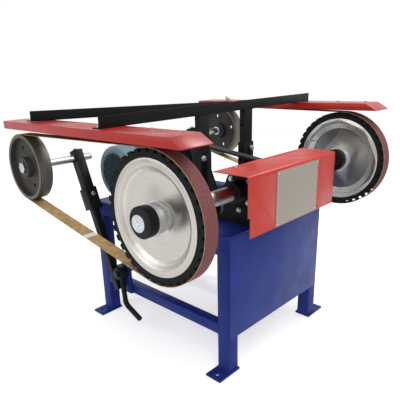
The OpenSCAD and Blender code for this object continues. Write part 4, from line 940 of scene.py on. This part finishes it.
def make_bolt_tree():
    """A washer, head, crown and shank, joined and put on every point."""
    tree, source, out = grow("Hexagon bolts on points", Head="Float", Height="Float", Shank="Float",
                             Length="Float", Sides="Int", Turn="Vector")
    part = {key: add(tree, "ShaderNodeMath", {0: source[of], 1: share},
                     operation="MULTIPLY").outputs[0] for key, (of, share) in SHARES.items()}
    washer = add(tree, "GeometryNodeMeshCylinder",
                 {"Vertices": 28, "Radius": part["washer r"], "Depth": part["washer t"]})
    head = add(tree, "GeometryNodeMeshCylinder",
               {"Vertices": source["Sides"], "Radius": source["Head"], "Depth": part["head t"]})
    crown = add(tree, "GeometryNodeMeshCone",
                {"Vertices": 24, "Radius Top": part["crown high"],
                 "Radius Bottom": part["crown low"], "Depth": part["washer t"]})
    shank = add(tree, "GeometryNodeMeshCylinder",
                {"Vertices": 16, "Radius": source["Shank"], "Depth": source["Length"]})
    whole = add(tree, "GeometryNodeJoinGeometry")
    tree.links.new(washer.outputs[0], whole.inputs[0])
    for shape, z in ((head, "head z"), (crown, "crown z"), (shank, "shank z")):
        place = add(tree, "ShaderNodeCombineXYZ", {"Z": part[z]})
        moved = add(tree, "GeometryNodeTransform",
                    {"Geometry": shape.outputs[0], "Translation": place.outputs[0]})
        tree.links.new(moved.outputs[0], whole.inputs[0])
    copies = add(tree, "GeometryNodeInstanceOnPoints",
                 {"Points": source["Geometry"], "Instance": whole.outputs[0],
                  "Rotation": source["Turn"]})
    return close(tree, source, copies.outputs[0], out)


BOLTS = make_bolt_tree()
FACING = {"up": (0, 0, 0), "left": (0, math.radians(-90), 0), "right": (0, math.radians(90), 0),
          "front": (math.radians(90), 0, 0)}
OUTWARD = {"up": Vector((0, 0, 1)), "left": Vector((-1, 0, 0)), "right": Vector((1, 0, 0)),
           "front": Vector((0, -1, 0))}

# %% [markdown]
# The construction solid of a screw node says where its screws are, how long they are and, by
# their longest side, which way they face. Screws that face one way with one length share a run
# of the tree, and all runs are joined into one piece a node.

# %% Find the screws and set them
SHORTEST = 0.5 * MM  # the least shank that is drawn
HEAD_FIT = 0.97 * MM  # heads are drawn at 97% of their radius in millimetres


def lumps(node):
    """Lowest and highest corner of each closed lump of a solid."""
    bm = welded(node)
    left, found = set(bm.verts), []
    while left:
        todo, group = [left.pop()], []
        while todo:
            v = todo.pop()
            group.append(v.co.copy())
            for e in v.link_edges:
                w = e.other_vert(v)
                if w in left:
                    left.discard(w)
                    todo.append(w)
        found.append(tuple(Vector([f(c[i] for c in group) for i in range(3)]) for f in (min, max)))
    bm.free()
    return sorted(found, key=lambda b: tuple(b[0]))


def way_of(low, high):
    """Which way a screw faces: along its length, outwards on the X axis."""
    if high.x - low.x > high.z - low.z:
        return "right" if low.x + high.x > 0 else "left"
    return "up"


def bolts(node, head, height, shank, finish, fixed_way=None, sides=6):
    """Puts a bolt where each lump of the node is, and lets them stand for it."""
    runs = {}
    for low, high in lumps(node):
        way = fixed_way or way_of(low, high)
        out = OUTWARD[way]
        tip = Vector([high[i] if out[i] > 0 else low[i] if out[i] < 0 else (low[i] + high[i]) / 2
                      for i in range(3)])
        length = abs((high - low).dot(out)) - height
        runs.setdefault((way, round(length, 4)), []).append(tip - out * height)
    made = []
    for (way, length), seats in runs.items():
        bm = bmesh.new()
        for seat in seats:
            bm.verts.new(seat)
        made.append(grown(mesh_object("Bolts", bm), BOLTS, finish, Head=head, Height=height,
                          Shank=shank, Length=max(length, SHORTEST), Sides=sides,
                          Turn=FACING[way]))
    whole = joined(node.replace("_", " ").capitalize(), *made)
    print(whole.name, sum(map(len, runs.values())), "set")
    return keep(whole, BODY_OF[node], SLOT_OF[node], node)


# The head's radius and height and the shank's radius in millimetres, and a fixed way if any.
for node, (head, height, shank, way) in {
        "housing_bolts": (8.5, 6, 5, None), "sleeve_clamp_bolts": (10, 8, 6, "front"),
        "cover_screws": (5.5, 4, 3, "up"), "motor_bolts": (8.5, 6, 5, "up"),
        "pivot_bolts": (17, 11, 10, None), "guard_screws": (5.5, 4, 3, "up")}.items():
    finish = MAT["oxide" if node == "pivot_bolts" else "zinc"]
    pieces[node] = bolts(node, head * HEAD_FIT, height * MM, shank * MM, finish, way)
pieces["plate_rivets"] = bolts("plate_rivets", 4 * MM, 1.5 * MM, 2 * MM, MAT["zinc"], "front",
                               sides=20)

# %% [markdown]
# ## Welds
# The stand is welded. A hand weld is a row of overlapping ripples along the seam. The tree walks
# along each seam and drops a ripple every 2.6 mm, each a little larger or smaller than the last,
# and the paint covers them.

# %% Tree: ripples along a seam
RIPPLE_STEP = 2.6 * MM
SMALLEST, LARGEST = 0.85, 1.12


def make_weld_tree():
    """Balls of that radius at even steps along every edge."""
    tree, source, out = grow("Weld ripples along seams", Step="Float", Width="Float")
    curve = add(tree, "GeometryNodeMeshToCurve", {0: source["Geometry"]})
    even = add(tree, "GeometryNodeResampleCurve",
               {"Curve": curve.outputs[0], "Length": source["Step"]}, mode="LENGTH")
    ball = add(tree, "GeometryNodeMeshUVSphere",
               {"Segments": 8, "Rings": 6, "Radius": source["Width"]})
    uneven = add(tree, "FunctionNodeRandomValue", {2: SMALLEST, 3: LARGEST, "Seed": 7},
                 data_type="FLOAT")
    copies = add(tree, "GeometryNodeInstanceOnPoints",
                 {"Points": even.outputs[0], "Instance": ball.outputs[0],
                  "Scale": uneven.outputs[1]})
    return close(tree, source, copies.outputs[0], out)


WELDS = make_weld_tree()


def seams(name, lines, body, slot, width=1.8 * MM):
    """Weld beads along straight seams, each a pair of points."""
    bm = bmesh.new()
    for a, b in lines:
        bm.edges.new((bm.verts.new(a), bm.verts.new(b)))
    obj = mesh_object(name, bm)
    grown(obj, WELDS, MAT[slot], Step=RIPPLE_STEP, Width=width)
    keep(obj, body, slot)
    print(obj.name, "along", len(lines), "seams")


# %% Seams of the stand: feet, stretchers and pivot brackets
LEG = 50 * MM
FOOT_PLATE = 8 * MM
STAND_HALF = 295 * MM
STAND_IN = 255 * MM
STAND_OUT = 293 * MM
BRACKET_SEAM = 40 * MM
stand_seams = []
for node in ("leg_front_left", "leg_front_right", "leg_rear_left", "leg_rear_right"):
    low, high = corners(node)
    z = low.z + FOOT_PLATE
    out_x = math.copysign(STAND_HALF, low.x)
    in_x = out_x - math.copysign(LEG, out_x)
    y_mid = (low.y + high.y) / 2
    front, back = y_mid - LEG / 2, y_mid + LEG / 2
    for y in (front, back):
        stand_seams.append(((in_x, y, z), (out_x, y, z)))
    stand_seams.append(((out_x, front, z), (out_x, back, z)))
low, high = corners("stretchers")
for s in (-1, 1):
    for y in (low.y, high.y - LEG):
        for z in (low.z, high.z):
            stand_seams.append(((s * STAND_IN, y, z), (s * STAND_OUT, y, z)))
        stand_seams.append(((s * STAND_HALF, y, low.z), (s * STAND_HALF, y, high.z)))
low, high = corners("pivot_brackets")
for s in (-1, 1):
    for y in (low.y, high.y):
        stand_seams.append(((s * STAND_HALF, y, low.z), (s * STAND_HALF, y, low.z + BRACKET_SEAM)))
seams("Stand welds", stand_seams, "base", "stand_paint", width=2.0 * MM)

# %% Seams of the sleeves and of the posts
POST_X = 130 * MM
POST_HALF = 25 * MM
SLEEVE_HALF = 29.3 * MM
SLEEVE_D = 33.6 * MM
WEB_T_HALF = 4 * MM
WEB_DOWN = 14 * MM
sleeve_seams = []
low, high = corners("post_sleeves")
front, back = high.y - SLEEVE_D, high.y
for s in (-1, 1):
    sides = (s * (POST_X - SLEEVE_HALF), s * (POST_X + SLEEVE_HALF))
    for y in (front, back):
        sleeve_seams.append(((sides[0], y, low.z), (sides[1], y, low.z)))
    for x in sides:
        sleeve_seams.append(((x, front, low.z), (x, back, low.z)))
    for x in (s * POST_X - WEB_T_HALF, s * POST_X + WEB_T_HALF):
        sleeve_seams.append(((x, front, low.z), (x, front, high.z - WEB_DOWN)))
seams("Sleeve welds", sleeve_seams, "base", "black_paint")

post_seams = []
low, high = corners("guard_posts")
for s in (-1, 1):
    sides = (s * POST_X - POST_HALF, s * POST_X + POST_HALF)
    post_seams.append(((sides[0], low.y, high.z), (sides[1], low.y, high.z)))
    for x in sides:
        post_seams.append(((x, low.y, high.z), (x, high.y, high.z)))
seams("Post welds", post_seams, "guards", "black_paint")

# %% [markdown]
# ## Light and stage
# A catalogue picture is taken on a white board in a white tent. The board takes the shadow, and
# what the camera or a polished face sees of it is lifted to white. The tent is plain white to
# the camera and to reflections, and dimmer as a source of light, so the lamps give the shape.

# %% Board and tent
scene = bpy.context.scene
scene.view_settings.view_transform = "Standard"
BOARD = 6.0
BOARD_Z = -0.5 * MM
BOARD_LIFT = 0.5
TENT = 0.5


def looked_at(tree):
    """One where the camera, a reflection or clear matter looks, zero for plain light."""
    path = add(tree, "ShaderNodeLightPath").outputs
    seen = add(tree, "ShaderNodeMath", {0: path["Is Camera Ray"], 1: path["Is Glossy Ray"]},
               operation="MAXIMUM")
    return add(tree, "ShaderNodeMath", {0: seen.outputs[0], 1: path["Is Transmission Ray"]},
               operation="MAXIMUM").outputs[0]


bm = bmesh.new()
bm.faces.new([bm.verts.new((x * BOARD, y * BOARD, BOARD_Z))
              for x, y in ((-1, -1), (1, -1), (1, 1), (-1, 1))])
board = mesh_object("Studio board", bm)
white, tree, shader = material("Matt white studio board", "#F6F6F6", 0.9, Specular_IOR_Level=0.1)
lift = add(tree, "ShaderNodeMath", {0: looked_at(tree), 1: BOARD_LIFT}, operation="MULTIPLY")
tree.links.new(lift.outputs[0], shader.inputs["Emission Strength"])
shader.inputs["Emission Color"].default_value = linear("#FFFFFF")
board.data.materials.append(white)
board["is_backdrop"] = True

world = bpy.data.worlds.new("White tent")
scene.world = world
world.use_nodes = True
tree = world.node_tree
tree.nodes.clear()
dim = add(tree, "ShaderNodeBackground", {"Color": linear("#FFFFFF"), "Strength": TENT})
bright = add(tree, "ShaderNodeBackground", {"Color": linear("#FFFFFF"), "Strength": 1.0})
both = add(tree, "ShaderNodeMixShader",
           {0: looked_at(tree), 1: dim.outputs[0], 2: bright.outputs[0]})
add(tree, "ShaderNodeOutputWorld", {"Surface": both.outputs[0]})
print("board", BOARD * 2, "m wide, tent at", TENT)

# %% [markdown]
# Three softboxes stand round the machine: the key in front at the left, a weaker one at the left
# side, and a small bright one above at the right, which lights the discs and the cover.

# %% Lamps
def softbox(name, at, toward, width, power):
    """A square lamp at a place, aimed at another."""
    data = bpy.data.lights.new(name, "AREA")
    data.size = width
    data.energy = power
    lamp = bpy.data.objects.new(name, data)
    scene.collection.objects.link(lamp)
    lamp.location = at
    lamp.rotation_euler = (Vector(toward) - Vector(at)).to_track_quat("-Z", "Y").to_euler()


softbox("Key softbox", (-2.2, -2.4, 3.0), (0, 0, 0.5), 2.0, 40)
softbox("Side softbox", (-3.0, 1.0, 2.0), (0, 0, 0.5), 2.0, 20)
softbox("Right softbox", (1.9, -0.6, 3.1), (-0.5, -0.4, 0.7), 1.2, 55)

# %% [markdown]
# ## Camera
# The camera was found from the photograph: a lens of about 40 mm on a 36 mm sensor, 1.9 m from
# the machine, 19 degrees above it and rolled by 2.4 degrees. The small shift puts the middle of
# the lens where the photograph's lies.

# %% Camera
SENSOR = 36
FOCAL_PX = 445.9
IMAGE_PX = 400
CENTRE_PX = (178.8, 226.0)
STAND_SHIFT = 0.011801  # the stand's middle lies this far in front of the model's origin
CAMERA_AT = Vector((-1.34354, -1.2357 - STAND_SHIFT, 1.0352))
HEADING, TILT, ROLL = (math.radians(a) for a in (43.9, 18.9, -2.4))
level = math.cos(TILT)
ahead = Vector((math.sin(HEADING) * level, math.cos(HEADING) * level, -math.sin(TILT)))
across = Vector((math.cos(HEADING), -math.sin(HEADING), 0))
upward = across.cross(ahead)
camera_x = math.cos(ROLL) * across + math.sin(ROLL) * upward
camera_y = -math.sin(ROLL) * across + math.cos(ROLL) * upward
camera_data = bpy.data.cameras.new("Photograph's view")
camera_data.sensor_width = SENSOR
camera_data.lens = FOCAL_PX / IMAGE_PX * SENSOR
camera_data.shift_x = (IMAGE_PX / 2 - CENTRE_PX[0]) / IMAGE_PX
camera_data.shift_y = (CENTRE_PX[1] - IMAGE_PX / 2) / IMAGE_PX
camera = bpy.data.objects.new("Camera", camera_data)
scene.collection.objects.link(camera)
turn = Matrix((camera_x, camera_y, -ahead)).transposed().to_4x4()
camera.matrix_world = Matrix.Translation(CAMERA_AT) @ turn
scene.camera = camera
print("lens", round(camera_data.lens, 2), "mm")

# %% [markdown]
# ## Size, and the solids left plain
# Nearly every solid now has a finished piece that stands for it. The table rails are left as the
# solid itself, with sharp edges and paint: their four tubes meet in shared corner points, where
# rounding folds the faces. The box of everything that is shown is printed. The dressed model has
# to stay inside the construction model's box.

# %% Paint what is left, and print the box
left_plain = [node for node in frame["nodes"] if node not in pieces]
for node in left_plain:
    obj = frame["nodes"][node]
    obj.data.materials.clear()
    obj.data.materials.append(MAT[SLOT_OF[node]])
low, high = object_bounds()
print("plain solids", left_plain, "box", [round(v, 3) for v in (*low, *high)])
